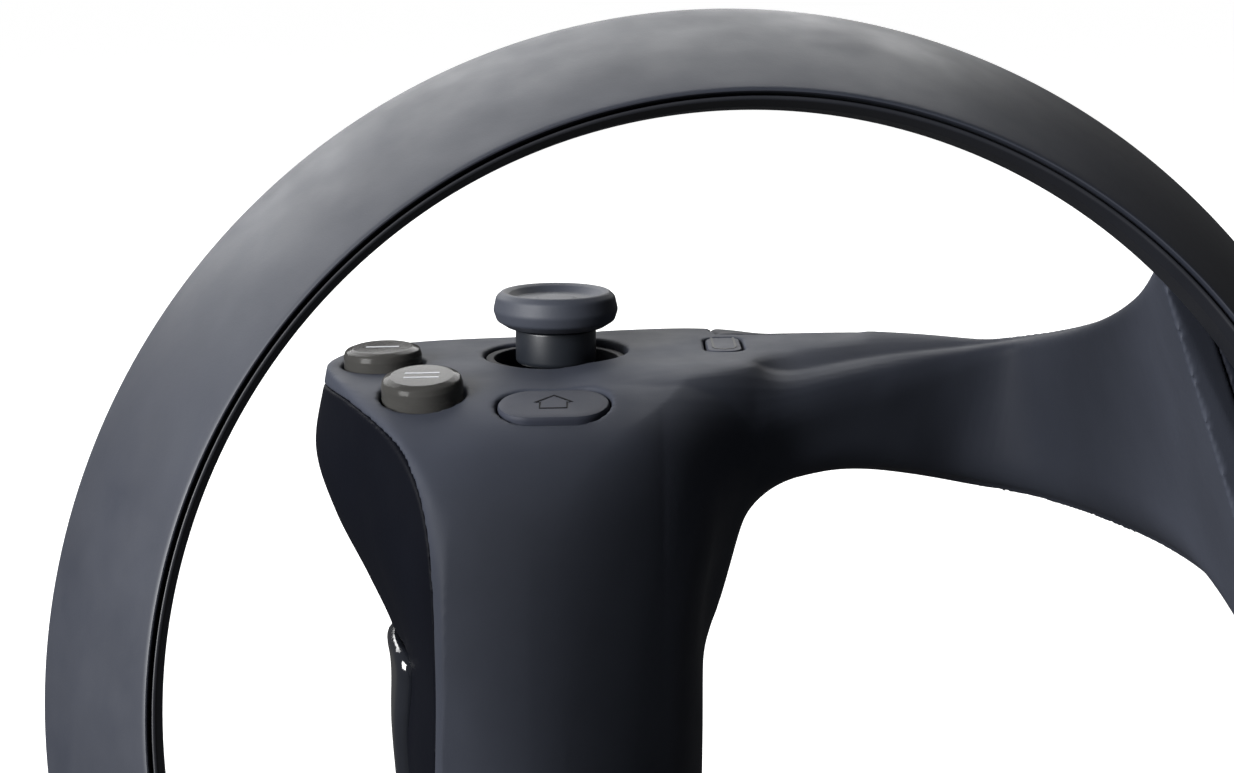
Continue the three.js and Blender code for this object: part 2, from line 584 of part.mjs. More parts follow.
const atPivot = placed(0, 0, STICK_PIVOT);
const trunnionHole = rod(1.5, -12, 12, 16);
const trunnionHoles = [[0, 90], [90, 0]].map(([rx, ry]) => set(trunnionHole, placed(0, 0, 0, rx, ry, 0)));
const housingWall = box(0, 0, -0.8, 2 * GIMBAL_HALF, 2 * GIMBAL_HALF, 11.4)
  .subtract(box(0, 0, -1.3, 13.4, 13.4, 11.4));
const housing = [rod(5.4, 0, 8), ...trunnionHoles].reduce((a, b) => a.subtract(b), housingWall);
piece('stick_housing', housing, 'steel').applyMatrix4(atPivot);

// Lower yoke: a frame round the shaft, turning about X and holding the shaft's cross pin
const lowerYoke = box(0, 0, -0.2, 10, 6.8, 3.6).subtract(box(0, 0, 0, 8, 4.5, 6))
  .add(set(rod(1.2, 4.6, 9.2, 16), placed(0, 0, 0, 0, 90, 0)))
  .add(set(rod(1.2, 4.6, 7.6, 16), placed(0, 0, 0, 0, -90, 0)))
  .subtract(set(rod(PIN_RADIUS + GAP, -5, 5, 12), placed(0, 0, 0, 90, 0, 0)));
piece('stick_yoke_lower', lowerYoke, 'plate').applyMatrix4(atPivot);

// Upper yoke: an arch over the lower one, turning about Y, with a slot for the shaft
const arch = box(0, 0, 1, 5.8, 12, 5.4)
  .subtract(box(0, 0, -0.2, 7, 9.6, 6.3))
  .subtract(box(0, 0, 4, 3.8, 8.4, 4))
  .add(set(rod(1.2, 5, 9.2, 16), placed(0, 0, 0, 90, 0, 0)))
  .add(set(rod(1.2, 5, 7.6, 16), placed(0, 0, 0, -90, 0, 0)));
piece('stick_yoke_upper', arch, 'plate').applyMatrix4(atPivot);

const sensor = box(10.2, 0, -0.6, 3.6, 9, 9.6).subtract(set(rod(1.5, 4, 11, 16), placed(0, 0, 0, 0, 90, 0)));
piece('stick_sensor_x', sensor, 'chip').applyMatrix4(atPivot);
piece('stick_sensor_y', sensor, 'chip').applyMatrix4(placed(0, 0, STICK_PIVOT, 0, 0, -90));
piece('stick_click_switch', box(0, 0, -14.4, 5, 5, 3.2), 'chip');

const COIL_STEPS = 8;          // straight pieces in a turn

/** A coil of round wire between two heights. */
function coil({ radius, wire, low, high, turns }, x, y) {
  const points = [];
  const steps = turns * COIL_STEPS;
  for (let i = 0; i <= steps; i++) {
    const angle = (2 * Math.PI * i) / COIL_STEPS;
    const height = THREE.MathUtils.lerp(low + wire, high - wire, i / steps);
    points.push(new THREE.Vector3(x + radius * Math.cos(angle), y + radius * Math.sin(angle), height));
  }
  const ring = new THREE.Shape(new THREE.Path().absarc(0, 0, wire, 0, 2 * Math.PI).getPoints(4).slice(0, -1));
  const options = { steps, bevelEnabled: false, extrudePath: new THREE.CatmullRomCurve3(points) };
  return solid(new THREE.ExtrudeGeometry(ring, options));
}

// ---- Boards and switches ----------------------------------------------------------------------------

const boardOutline = [[-13.5, -31], [16, -31], [19.5, -14], [19.5, 2.5], [-24, 2.5], [-24, -9.5]];
piece('main_board', raised(boardOutline, BOARD_TOP - BOARD_THICKNESS, BOARD_TOP), 'board');
piece('main_processor', box(-2, -12, BOARD_TOP - BOARD_THICKNESS - 0.8, 11, 11, 1), 'chip');
piece('radio_module', box(11, -22, BOARD_TOP - BOARD_THICKNESS - 1.1, 9, 12, 1.6), 'steel');
piece('home_switch', set(box(0, -20.2, 0, 4.5, 4.5, 1.6), placed(0, 0, BOARD_TOP + 1.1)), 'chip');
const buttonBoardOutline = [[-27.5, -1], [-24.5, -12], [-19.5, -24], [-12.2, -24], [-12.2, 1], [-26.5, 1]];
piece('button_board', raised(buttonBoardOutline, -10.8, -10), 'board');
for (const { side, x, y, z } of FACE_BUTTONS) {
  const top = z - FACE_BUTTON_SKIRT - 1.55 - (side === 'near' ? 0.4 : 0);
  const dome = turned([[0, top], [2.2, top], [4.2, -9.7], [3.4, -9.7], [1.8, top - 0.7], [0, top - 0.7]], 20);
  piece(`dome_${side}`, dome, 'silicone').applyMatrix4(placed(x, y, 0));
}
piece('options_board', box(22.6, 2.2, -9.5, 7, 10, 0.8), 'board');
piece('options_switch', box(23.2, 1.9, -8, 3.6, 3.6, 1.4), 'chip');

// ---- Mid frame: a plate under the boards and a spine down the grip ----------------------------------

const screwPosts = SCREWS.map(({ x, y, z }) => set(rod(2.6, -14, -5, 16), placed(x, y, z, -90, 0, 0)));
const spine = box(1, -15.7, -49.5, 26, 1.6, 57);
const FRAME_OUTLINE = [[-12.5, -31], [14, -31], [16.5, -14], [14.5, 0], [-21, 0], [-21.5, -9]];
const framePlate = raised(FRAME_OUTLINE, -22.2, -20.6).subtract(box(4, -1.5, -21, 11, 8, 6));
const frameSolid = screwPosts.reduce((a, b) => a.add(b), framePlate.add(spine));
piece('mid_frame', biggest(screwHoles.reduce((a, b) => a.subtract(b), frameSolid)), 'frame');
const crossRecess = box(0, 0, -0.4, 2.6, 0.6, 1).add(box(0, 0, -0.4, 0.6, 2.6, 1));
const screw = rod(2, -1.7, -0.4, 20).add(rod(1.1, -11, -1, 14)).subtract(crossRecess);
SCREWS.forEach(({ name, x, y, z }) => {
  piece(`case_screw_${name}`, screw, 'steel').applyMatrix4(placed(x, y, z, -90, 0, 0));
});

// ---- Trigger and its force feedback -----------------------------------------------------------------

const triggerSide = [[8.5, -11.6], [9.2, -9.4], [11, -8.2], [17.6, -8.3], [18.8, -12], [19, -18], [20.2, -24],
  [22.6, -29.5], [25.4, -33.4], [24.6, -35.4], [22.4, -35.8], [18, -33.4], [15.4, -28.5], [14, -22],
  [13.2, -17],
  [10, -15.4], [8.5, -13.6]];
const axlePlace = placed(0, TRIGGER_AXLE.y, TRIGGER_AXLE.z, 0, 90, 0);
const axleHole = set(rod(TRIGGER_AXLE.radius + GAP, -12, 12, 20), axlePlace);
const triggerBlank = carried([...triggerSide].reverse(), -TRIGGER_HALF, TRIGGER_HALF);
const springRoom = box(-4.5, 10.2, -12.6, 5, 6.4, 7);
const triggerSolid = triggerBlank.subtract(axleHole).subtract(springRoom);
piece('trigger', biggest(triggerSolid), 'frontShell');
piece('trigger_axle', rod(TRIGGER_AXLE.radius, -10.7, 10.7, 20), 'steel').applyMatrix4(axlePlace);
const cheeks = [-10.5, 9.5].map((x) => triggerCheek(x, x + 1, 0));
const frameBar = box(0, 8.7, -17.4, 21, 1.2, 1.2);
piece('trigger_frame', cheeks[0].add(cheeks[1]).add(frameBar).subtract(axleHole), 'frame');
const TRIGGER_SPRING = { radius: 2.1, wire: 0.35 };
const springCoil = set(coil({ ...TRIGGER_SPRING, low: -2, high: 2, turns: 3 }, 0, 0),
  placed(-4.5, TRIGGER_AXLE.y, TRIGGER_AXLE.z, 0, 90, 0));
piece('trigger_spring', springCoil, 'steel');

const wheelTooth = box(0, WHEEL.radius - 0.4, 0, 0.8, 1.2, WHEEL.width);
const wheelTeeth = [...Array(WHEEL.teeth).keys()]
  .map((i) => set(wheelTooth, placed(0, 0, 0, 0, 0, (360 * i) / WHEEL.teeth)));
const wheelBody = rod(WHEEL.radius - 0.7, -WHEEL.width / 2, WHEEL.width / 2, 30);
const wheelDisc = wheelTeeth.reduce((a, b) => a.add(b), wheelBody);
const driveLever = set(box(5.6, 0, 0, 7.8, 2, WHEEL.width), placed(0, 0, 0, 0, 0, -68.7));
const wheelPlace = new THREE.Matrix4().set(0, 0, 1, WHEEL.x, 1, 0, 0, WHEEL.y, 0, 1, 0, WHEEL.z, 0, 0, 0, 1);
const wheelSolid = wheelDisc.add(driveLever).subtract(rod(1.3, -5, 5, 16));
piece('worm_wheel', wheelSolid, 'brass').applyMatrix4(wheelPlace);
const wheelAxle = rod(1, -3.6, 3.6, 14);
piece('worm_wheel_axle', wheelAxle, 'steel').applyMatrix4(placed(WHEEL.x, WHEEL.y, WHEEL.z, 0, 90, 0));
const wormHalf = WORM.length / 2;
const THREAD = { radius: WORM.radius - 0.45, wire: 0.4, low: -wormHalf, high: wormHalf, turns: 3 };
const thread = coil(THREAD, 0, 0);
const wormCore = rod(WORM.radius - 0.5, -wormHalf, wormHalf, 20).add(rod(0.7, -wormHalf - 2.4, 0, 14));
piece('motor_worm', wormCore.add(thread), 'brass').applyMatrix4(placed(WHEEL.x, WORM.y, WHEEL.z));
const motorTop = WHEEL.z - wormHalf - 1;
const motor = rod(3.2, motorTop - 5.8, motorTop, 24).subtract(rod(1, motorTop - 2, motorTop + 1, 14));
piece('force_motor', motor, 'steel').applyMatrix4(placed(WHEEL.x, WORM.y, 0));

// ---- Grip: finger button, battery, haptics, sensing film --------------------------------------------

const buttonBand = columnForm(GRIP_BUTTON.proud).subtract(columnForm(GRIP_BUTTON.proud - GRIP_BUTTON.thick));
const pinTurn = 90 + THREE.MathUtils.radToDeg(Math.atan2(GRIP_BUTTON_AXIS.y, GRIP_BUTTON_AXIS.x));
const pinPlace = placed(...GRIP_BUTTON_PIN, 0, 0, pinTurn);    // local +X points out of the grip
const pinHole = (radius) => rod(radius, -8, 8, 16).rotate([90, 0, 0]);
const lug = set(box(2.2, 0, 0, 5.8, 7, 3).subtract(pinHole(1.1)), pinPlace);
piece('grip_button', biggest(buttonBand.intersect(buttonWindow(0)).add(lug)), 'gloss');
piece('grip_button_pin', rod(0.8, -5, 5, 16).rotate([90, 0, 0]), 'steel').applyMatrix4(pinPlace);
const bracketArms = box(-0.7, -4.6, 0, 2.6, 1, 3.6).add(box(-0.7, 4.6, 0, 2.6, 1, 3.6));
const bracket = box(-1.6, 0, 0, 1, 10.2, 3.6).add(bracketArms);
piece('grip_button_bracket', bracket.subtract(pinHole(1.1)), 'frame').applyMatrix4(pinPlace);
piece('grip_button_switch', box(-12.2, -12.6, -55, 3, 3.8, 4), 'chip');

const cellOutline = roundedRectangle(BATTERY.width, BATTERY.depth, 3);
const cell = raised(cellOutline, -BATTERY.height / 2, BATTERY.height / 2);
piece('battery', cell, 'wrap').applyMatrix4(placed(BATTERY.x, BATTERY.y, BATTERY.z));
const trayBlock = box(0, 0, 0, BATTERY.width + 2.4, BATTERY.depth + 2.4, BATTERY.height + 3);
const trayRoom = box(0, -4, 0, BATTERY.width + 0.8, BATTERY.depth + 8.8, BATTERY.height + 0.8);
piece('battery_tray', trayBlock.subtract(trayRoom), 'frame')
  .applyMatrix4(placed(BATTERY.x, BATTERY.y, BATTERY.z));

const hapticOuter = box(0, 0, 0, HAPTIC.width, HAPTIC.depth, HAPTIC.height);
const hapticRoom = box(0, 1, 0, HAPTIC.width - 2 * HAPTIC.wall, HAPTIC.depth,
  HAPTIC.height - 2 * HAPTIC.wall);
const hapticPlace = placed(HAPTIC.x, HAPTIC.y, HAPTIC.z);
piece('haptic_case', hapticOuter.subtract(hapticRoom), 'steel').applyMatrix4(hapticPlace);
const hapticMass = box(0, 0.3, 2.5, HAPTIC.width - 3, HAPTIC.depth - 2.6, HAPTIC.height - 9);
piece('haptic_mass', hapticMass, 'brass').applyMatrix4(hapticPlace);
const HAPTIC_SPRING = { radius: 2.2, wire: 0.3, low: HAPTIC.z - 11.8, high: HAPTIC.z - 6.3, turns: 3 };
piece('haptic_spring', coil(HAPTIC_SPRING, HAPTIC.x, HAPTIC.y + 0.3), 'steel');

const film = columnForm(-2.2).subtract(columnForm(-2.5)).intersect(box(4, -44, -55, 20, 22, 40));
piece('finger_sensor_film', biggest(film), 'flex');

// ---- Charging port and the cable through the arm ----------------------------------------------------

const portShell = box(0, 0, 0, USB.width, USB.length, USB.height)
  .subtract(box(0, 1, 0, USB.width - 1, USB.length, USB.height - 1));
const portTongue = box(0, 0, 0, USB.width - 2.6, USB.length - 0.8, 0.7);
const portPlace = placed(USB.x, USB.y - USB.length / 2 - 0.4, USB.z);
piece('usb_port', portShell.add(portTongue), 'steel').applyMatrix4(portPlace);
piece('usb_board', box(USB.x + 0.4, 8.1, USB.z - USB.height / 2 - 0.7, 7.4, 5.8, 0.8), 'board');

const cableRings = [];
for (let step = 2; step <= ARM_STEPS - 3; step++) {
  const [ti, bi, to, bo] = ARM_EDGES.map((edge) => armRail[edge][step]);
  const middle = ti.clone().add(bi).add(to).add(bo).divideScalar(4);
  const across = to.clone().sub(ti).normalize().multiplyScalar(0.25);
  const up = ti.clone().sub(bi).normalize().multiplyScalar(2.5);
  cableRings.push([[-1, -1], [1, -1], [1, 1], [-1, 1]].map(([a, b]) => middle.clone()
    .addScaledVector(across, a).addScaledVector(up, b)));
}
piece('arm_flex_cable', loft(cableRings), 'flex');

// ---- Stand the controller on the middle of its footprint --------------------------------------------

const bounds = new THREE.Box3().setFromObject(controller);
const middle = bounds.getCenter(new THREE.Vector3());
controller.position.set(-middle.x, -middle.y, -bounds.min.z);

export default controller;
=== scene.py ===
"""VR motion controller: the moulded skin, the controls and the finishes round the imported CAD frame.

Sizes are millimetres in the design frame, whose origin is the thumbstick's base on the panel, with +X to the
right, +Y away from the user and +Z up. piece() turns them into metres in the row frame.
"""
import json
import math

import bpy
import numpy as np
import openvdb
from mathutils import Matrix, Vector


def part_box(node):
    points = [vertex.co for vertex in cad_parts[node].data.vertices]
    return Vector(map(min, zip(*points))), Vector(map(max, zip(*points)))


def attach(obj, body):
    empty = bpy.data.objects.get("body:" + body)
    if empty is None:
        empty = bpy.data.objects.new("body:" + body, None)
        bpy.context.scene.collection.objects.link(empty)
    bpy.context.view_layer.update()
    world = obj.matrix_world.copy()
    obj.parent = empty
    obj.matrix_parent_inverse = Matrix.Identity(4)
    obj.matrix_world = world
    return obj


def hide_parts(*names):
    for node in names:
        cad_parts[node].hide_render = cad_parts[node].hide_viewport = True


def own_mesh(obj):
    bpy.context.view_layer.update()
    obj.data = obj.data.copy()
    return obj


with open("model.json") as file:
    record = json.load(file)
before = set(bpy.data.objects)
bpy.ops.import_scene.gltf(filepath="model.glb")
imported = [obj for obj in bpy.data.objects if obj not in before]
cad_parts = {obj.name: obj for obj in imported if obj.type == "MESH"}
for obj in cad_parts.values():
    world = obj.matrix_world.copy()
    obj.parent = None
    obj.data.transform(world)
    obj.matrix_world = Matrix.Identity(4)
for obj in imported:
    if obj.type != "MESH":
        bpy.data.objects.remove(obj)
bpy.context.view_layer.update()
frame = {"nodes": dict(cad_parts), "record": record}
NODES = frame["nodes"]

MM = 0.001
cap_low, cap_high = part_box("stick_cap")
STICK_HEIGHT = 8.3
ORIGIN = Vector(((cap_low.x + cap_high.x) / 2, (cap_low.y + cap_high.y) / 2, cap_high.z - STICK_HEIGHT * MM))
FLOOR = -ORIGIN.z / MM         # height of the surface that the controller stands on

# ---- Sizes -----------------------------------------------------------------------------------------
# As in the CAD, except where a comment says that the visible surface departs from it.

WALL = 1.8
SEAM_INSET = 0.8               # the visible parting line lies this far behind the CAD's
SEAM_ROUND = 0.3               # edge rounding beside the parting lines
ARM_BLEND = 9.0                # width of the hollow where the arm leaves the head
HOLE_ROUND = 0.5               # edge rounding of the holes in the panel
HOLE_DEPTH = 8.0
SEAM_GAP = 0.04                # width of the parting lines
PANEL_RISE = math.radians(1.2)
RING_CENTRE = np.array([21.1, -75.0, -19.5])
RING_AXIS = np.array([0.093, -0.96, 0.264])
RING_AXIS = RING_AXIS / np.linalg.norm(RING_AXIS)
RING_RADIUS, RING_NEAR_RADIUS, RING_DEPTH, RING_CROWN = 68.5, 55.8, 19.0, 0.8
RECESS_RADIUS = 9.8
BUTTON_RADIUS, BUTTON_RISE, BUTTON_SKIRT = 5.2, 2.2, 3.2
CAP_TOP = FLOOR + 5.6

COLUMN = [
    (6, (-12.5, -38), [(3, -42), (18, -34), (24, -12), (20, 14), (0, 17.6), (-20, 13), (-28.8, -2),
                       (-24.8, -18.5)]),
    (-3, (-12.5, -38.5), [(3, -42), (18, -34), (24, -12), (20, 14), (0, 17.6), (-21.5, 12), (-30.8, -3),
                          (-24.9, -19.6)]),
    (-12, (-12.6, -39), [(3, -42.5), (17.5, -34.5), (23.5, -13), (20, 11), (0, 16.5), (-21.5, 10.5),
                         (-32.2, -4), (-24.2, -21.5)]),
    (-20, (-12.4, -40.5), [(3, -43.5), (16.5, -36), (21.5, -17), (17.5, 5.5), (0, 13), (-19.5, 8),
                           (-29.6, -5), (-22.6, -23.5)]),
    (-28, (-12.4, -41.5), [(3, -44.3), (15.5, -37), (19.7, -20), (15, -1), (0, 8), (-15, 3.2), (-24.9, -7),
                           (-19.8, -25)]),
    (-36, (-12.5, -42), [(3, -44.6), (15.3, -37.5), (19.3, -21), (13.5, -5.5), (0, 2), (-12.5, -1.5),
                         (-20.4, -12), (-17.2, -28)]),
    (-46, (-12.7, -42), [(3, -44.5), (15.2, -37.5), (19.3, -21), (13, -6.5), (1, -1), (-11.5, -4),
                         (-19.7, -15.5), (-17.1, -30.5)]),
    (-66, (-13, -41), [(3, -43), (15, -36.5), (19, -21), (13, -6.5), (1, -1.5), (-11.5, -5), (-18, -17.5),
                       (-16.6, -31)]),
    (-82, (-12.8, -38.6), [(3, -40.2), (14.3, -34.4), (17.9, -20.6), (12.3, -7.8), (1, -3.6), (-10.8, -6.8),
                           (-17.9, -18), (-16.2, -30)]),
    (-88, (-11.5, -36.6), [(3, -38), (13, -32.6), (16.3, -20.4), (11, -9), (1, -5.4), (-9.6, -8.2),
                           (-16, -18), (-14.5, -29)]),
]
RIBBON = [(24, -2), (17, -1), (9, -0.3), (0, 0), (-10, -0.44), (-20, -1.75), (-28, -4.2), (-34, -8.6),
          (-38.2, -14.5), (-41, -21), (-43.4, -29), (-45.6, -40), (-46.5, -60)]
SEAM = [(24, -4.4), (17, -3.1), (9, -2.15), (0, -1.8), (-10, -2.24), (-19.6, -3.5), (-27, -5.8),
        (-32.6, -9.8),
        (-36.4, -15.3), (-38.2, -21), (-39, -29), (-39, -40), (-39, -60), (-36, -90)]
SEAM_LEFT, SEAM_SKEW = -12.5, 0.75
# The rails start 8 mm from the head's middle, inside it, and top_outer is up to 0.6 mm above the CAD's.
ARM = {
    "top_inner": [(8, -20, -5.5), (20, -19, -3.4), (31, -16, -2), (44.5, -8.5, -0.3), (54, -4.5, 0.7),
                  (61.5, -5, 2.5),
                  (65, -14, 5.3), (66.3, -27, 9.2), (65.5, -44, 14.5), (61, -70, 22.5)],
    "bottom_inner": [(8, -19, -31), (18.5, -19, -31), (24, -16.5, -18), (36, -13, -13.8), (46, -9, -14.4),
                     (55, -5.2, -16.4),
                     (63, -7, -17.4), (70, -20, -17), (74, -42, -16.2), (77.5, -74, -26)],
    "top_outer": [(8, 14, -2.5), (20, 14.5, -0.5), (31, 15, 0.4), (44, 12.8, 0.6), (55, 8.2, 0.9),
                  (64, 1, 1.4), (71, -10, 4.2),
                  (74, -26, 9), (73, -43, 16), (66, -66, 26)],
    "bottom_outer": [(8, 3, -27), (16, 3, -29), (24, 8, -19.5), (36, 9.5, -17.2), (46, 8, -17.8),
                     (57, 4, -19.4),
                     (67, -3, -20.4), (76, -18, -21), (82.5, -42, -22.2), (87, -74, -30)],
}

# ---- Curves and meshes -----------------------------------------------------------------------------


def catmull(points, fine=16):
    """Dense points along a centripetal Catmull-Rom curve."""
    p = np.array(points, float)
    p = np.vstack([2 * p[0] - p[1], p, 2 * p[-1] - p[-2]])
    out = []
    for i in range(1, len(p) - 2):
        a, b, c, d = p[i - 1], p[i], p[i + 1], p[i + 2]
        t1 = max(np.linalg.norm(b - a) ** 0.5, 1e-6)
        t2 = t1 + max(np.linalg.norm(c - b) ** 0.5, 1e-6)
        t3 = t2 + max(np.linalg.norm(d - c) ** 0.5, 1e-6)
        t = np.linspace(t1, t2, fine, endpoint=False)[:, None]
        ab = a * (t1 - t) / t1 + b * t / t1
        bc = b * (t2 - t) / (t2 - t1) + c * (t - t1) / (t2 - t1)
        cd = c * (t3 - t) / (t3 - t2) + d * (t - t2) / (t3 - t2)
        abc = ab * (t2 - t) / t2 + bc * t / t2
        bcd = bc * (t3 - t) / (t3 - t1) + cd * (t - t1) / (t3 - t1)
        out.append(abc * (t2 - t) / (t2 - t1) + bcd * (t - t1) / (t2 - t1))
    out.append(p[-2:-1])
    return np.vstack(out)


def spaced(line, count):
    """count points at equal steps of length along a polyline."""
    step = np.r_[0, np.cumsum(np.linalg.norm(np.diff(line, axis=0), axis=1))]
    at = np.linspace(0, step[-1], count)
    return np.stack([np.interp(at, step, line[:, k]) for k in range(line.shape[1])], 1)


def lofted(rings):
    """Points, quads and cap triangles of a closed solid through rings of points."""
    rings = np.asarray(rings)
    levels, count = rings.shape[:2]
    points = np.vstack([rings.reshape(-1, 3), rings[0].mean(0), rings[-1].mean(0)])
    a = (np.arange(levels - 1)[:, None] * count + np.arange(count)).ravel()
    b = (np.arange(levels - 1)[:, None] * count + (np.arange(count) + 1) % count).ravel()
    quads = np.stack([a, b, b + count, a + count], 1)
    i = np.arange(count)
    j = (i + 1) % count
    last = (levels - 1) * count
    first_cap = np.stack([j, i, np.full(count, levels * count)], 1)
    last_cap = np.stack([i + last, j + last, np.full(count, levels * count + 1)], 1)
    return points, quads, np.vstack([first_cap, last_cap])


def piece(name, points, faces, body, material, nodes=(), slot=None, angle=None):
    """A mesh piece from design-frame points. It rides on a body and stands for CAD nodes."""
    mesh = bpy.data.meshes.new(name)
    points = np.asarray(points, float) * MM + np.array(ORIGIN)
    mesh.from_pydata(points.tolist(), [], [list(map(int, f)) for f in faces])
    mesh.validate()
    mesh.materials.append(material)
    mesh.calc_loop_triangles()
    corners = np.empty(len(mesh.loop_triangles) * 3, np.int32)
    mesh.loop_triangles.foreach_get("vertices", corners)
    a, b, c = (points - points.mean(0))[corners.reshape(-1, 3)].transpose(1, 0, 2)
    if (a * np.cross(b, c)).sum() < 0:
        mesh.flip_normals()    # faces point out
    mesh.polygons.foreach_set("use_smooth", [True] * len(mesh.polygons))
    obj = bpy.data.objects.new(name, mesh)
    bpy.context.scene.collection.objects.link(obj)
    if angle:
        mesh.set_sharp_from_angle(angle=math.radians(angle))
    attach(obj, body)
    if nodes:
        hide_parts(*nodes)
    return obj


def rounded(corners, steps=5):
    """A closed 2D outline from (x, y, corner radius) triples."""
    pts = np.array([c[:2] for c in corners], float)
    out = []
    for k, (_, _, radius) in enumerate(corners):
        here, before, after = pts[k], pts[k - 1], pts[(k + 1) % len(pts)]
        u, v = before - here, after - here
        lu, lv = np.linalg.norm(u), np.linalg.norm(v)
        half = math.acos(max(-1, min(1, float(u @ v) / (lu * lv)))) / 2
        if radius <= 0 or half > 1.5:
            out.append(here)
            continue
        cut = min(radius / math.tan(half), 0.48 * lu, 0.48 * lv)
        start, end = here + u / lu * cut, here + v / lv * cut
        for i in range(steps + 1):
            t = i / steps
            out.append((1 - t) ** 2 * start + 2 * t * (1 - t) * here + t * t * end)
    return np.array(out)


def lathe(section, steps):
    """Points and quads of a closed [radius, height] section swept round Z."""
    count = len(section)
    angle = np.arange(steps) * 2 * math.pi / steps
    r, h = section[:, 0], section[:, 1]
    points = np.stack([np.outer(np.cos(angle), r), np.outer(np.sin(angle), r), np.tile(h, (steps, 1))], 2)
    faces = []
    for s in range(steps):
        for k in range(count):
            a, b = s * count + k, s * count + (k + 1) % count
            c, d = ((s + 1) % steps) * count + (k + 1) % count, ((s + 1) % steps) * count + k
            faces.append((a, d, c, b))
    area = sum(section[i - 1][0] * section[i][1] - section[i][0] * section[i - 1][1] for i in range(count))
    if area > 0:
        faces = [f[::-1] for f in faces]
    return points.reshape(-1, 3), faces


def moved(points, matrix):
    """Points through a 4 by 4 matrix."""
    m = np.array(matrix)
    return np.asarray(points) @ m[:3, :3].T + m[:3, 3]


def on_panel(x, y, z, lean=0.0):
    """The place of a control on the panel, with local +Z out of it."""
    turn = Matrix.Rotation(math.radians(lean), 4, "X") @ Matrix.Rotation(-PANEL_RISE, 4, "Y")
    return Matrix.Translation((x, y, z)) @ turn


# ---- Finishes --------------------------------------------------------------------------------------


class Nodes:
    """Short names for adding shader nodes."""

    def __init__(self, name):
        self.material = bpy.data.materials.new(name)
        self.material.use_nodes = True
        self.tree = self.material.node_tree
        self.shader = self.tree.nodes["Principled BSDF"]
        coords = self.tree.nodes.new("ShaderNodeTexCoord")
        self.place = coords.outputs["Object"]

    def add(self, kind, inputs=None, **settings):
        node = self.tree.nodes.new(kind)
        for key, value in settings.items():
            setattr(node, key, value)
        for key, value in (inputs or {}).items():
            if isinstance(value, bpy.types.NodeSocket):
                self.tree.links.new(value, node.inputs[key])
            else:
                node.inputs[key].default_value = value
        return node

    def noise(self, scale, detail=3.0, roughness=0.55, vector=None):
        inputs = {"Vector": vector or self.place, "Scale": scale, "Detail": detail, "Roughness": roughness}
        return self.add("ShaderNodeTexNoise", inputs).outputs["Fac"]

    def ramp(self, value, low, high, start=0.3, end=0.7):
        inputs = {"Value": value, "From Min": start, "From Max": end, "To Min": low, "To Max": high}
        return self.add("ShaderNodeMapRange", inputs).outputs["Result"]

    def mix(self, share, a, b):
        node = self.tree.nodes.new("ShaderNodeMix")
        node.data_type = "RGBA"
        self.tree.links.new(share, node.inputs["Factor"])
        node.inputs["A"].default_value = (*a, 1)
        node.inputs["B"].default_value = (*b, 1)
        return node.outputs["Result"]

    def bump(self, height, distance, strength=0.5, below=None):
        inputs = {"Height": height, "Distance": distance, "Strength": strength}
        if below is not None:
            inputs["Normal"] = below
        return self.add("ShaderNodeBump", inputs).outputs["Normal"]

    def link(self, socket, value):
        if isinstance(value, bpy.types.NodeSocket):
            self.tree.links.new(value, self.shader.inputs[socket])
        else:
            self.shader.inputs[socket].default_value = value


def moulded(name, base, rough, grain=1.0, specular=0.5):
    """Matte moulded plastic: a fine spark texture, faint flow variation and slightly polished patches."""
    n = Nodes(name)
    wide = n.noise(38.0, 4.0)
    dark = tuple(c * 0.86 for c in base)
    light = tuple(c * 1.13 for c in base)
    n.link("Base Color", n.mix(n.ramp(wide, 0, 1), dark, light))
    n.link("Roughness", n.ramp(n.noise(120.0, 3.0), rough - 0.05, rough + 0.06))
    spark = n.noise(5200.0, 2.0, 0.6)
    coarse = n.noise(1500.0, 2.0, 0.5)
    first = n.bump(coarse, 0.00002, 0.35 * grain)
    n.link("Normal", n.bump(spark, 0.00002, 0.55 * grain, first))
    n.link("Specular IOR Level", specular)
    return n.material


def metal(name, base, rough, stretch=(1, 1, 30)):
    """Machined metal with fine lines along one axis."""
    n = Nodes(name)
    mapping = n.add("ShaderNodeMapping", {"Vector": n.place, "Scale": stretch})
    lines = n.noise(900.0, 3.0, 0.6, mapping.outputs["Vector"])
    dark = tuple(c * 0.85 for c in base)
    light = tuple(min(1, c * 1.08) for c in base)
    n.link("Base Color", n.mix(n.ramp(lines, 0, 1), dark, light))
    n.link("Roughness", n.ramp(lines, rough - 0.06, rough + 0.1))
    n.link("Normal", n.bump(lines, 0.00001, 0.25))
    n.link("Metallic", 1.0)
    return n.material


def board(name):
    """Solder mask with traces and pads."""
    n = Nodes(name)
    inputs = {"Vector": n.place, "Scale": 620.0, "Randomness": 0.0}
    pads = n.add("ShaderNodeTexVoronoi", inputs, feature="F1", distance="CHEBYCHEV").outputs["Distance"]
    tracks = n.add("ShaderNodeTexWave", {"Vector": n.place, "Scale": 260.0, "Distortion": 3.0,
                                         "Detail": 1.0})
    shade = n.ramp(tracks.outputs["Fac"], 0, 1, 0.45, 0.6)
    n.link("Base Color", n.mix(shade, (0.012, 0.085, 0.035), (0.03, 0.16, 0.075)))
    n.link("Roughness", n.ramp(pads, 0.3, 0.5, 0.2, 0.5))
    n.link("Normal", n.bump(tracks.outputs["Fac"], 0.00003, 0.4))
    return n.material


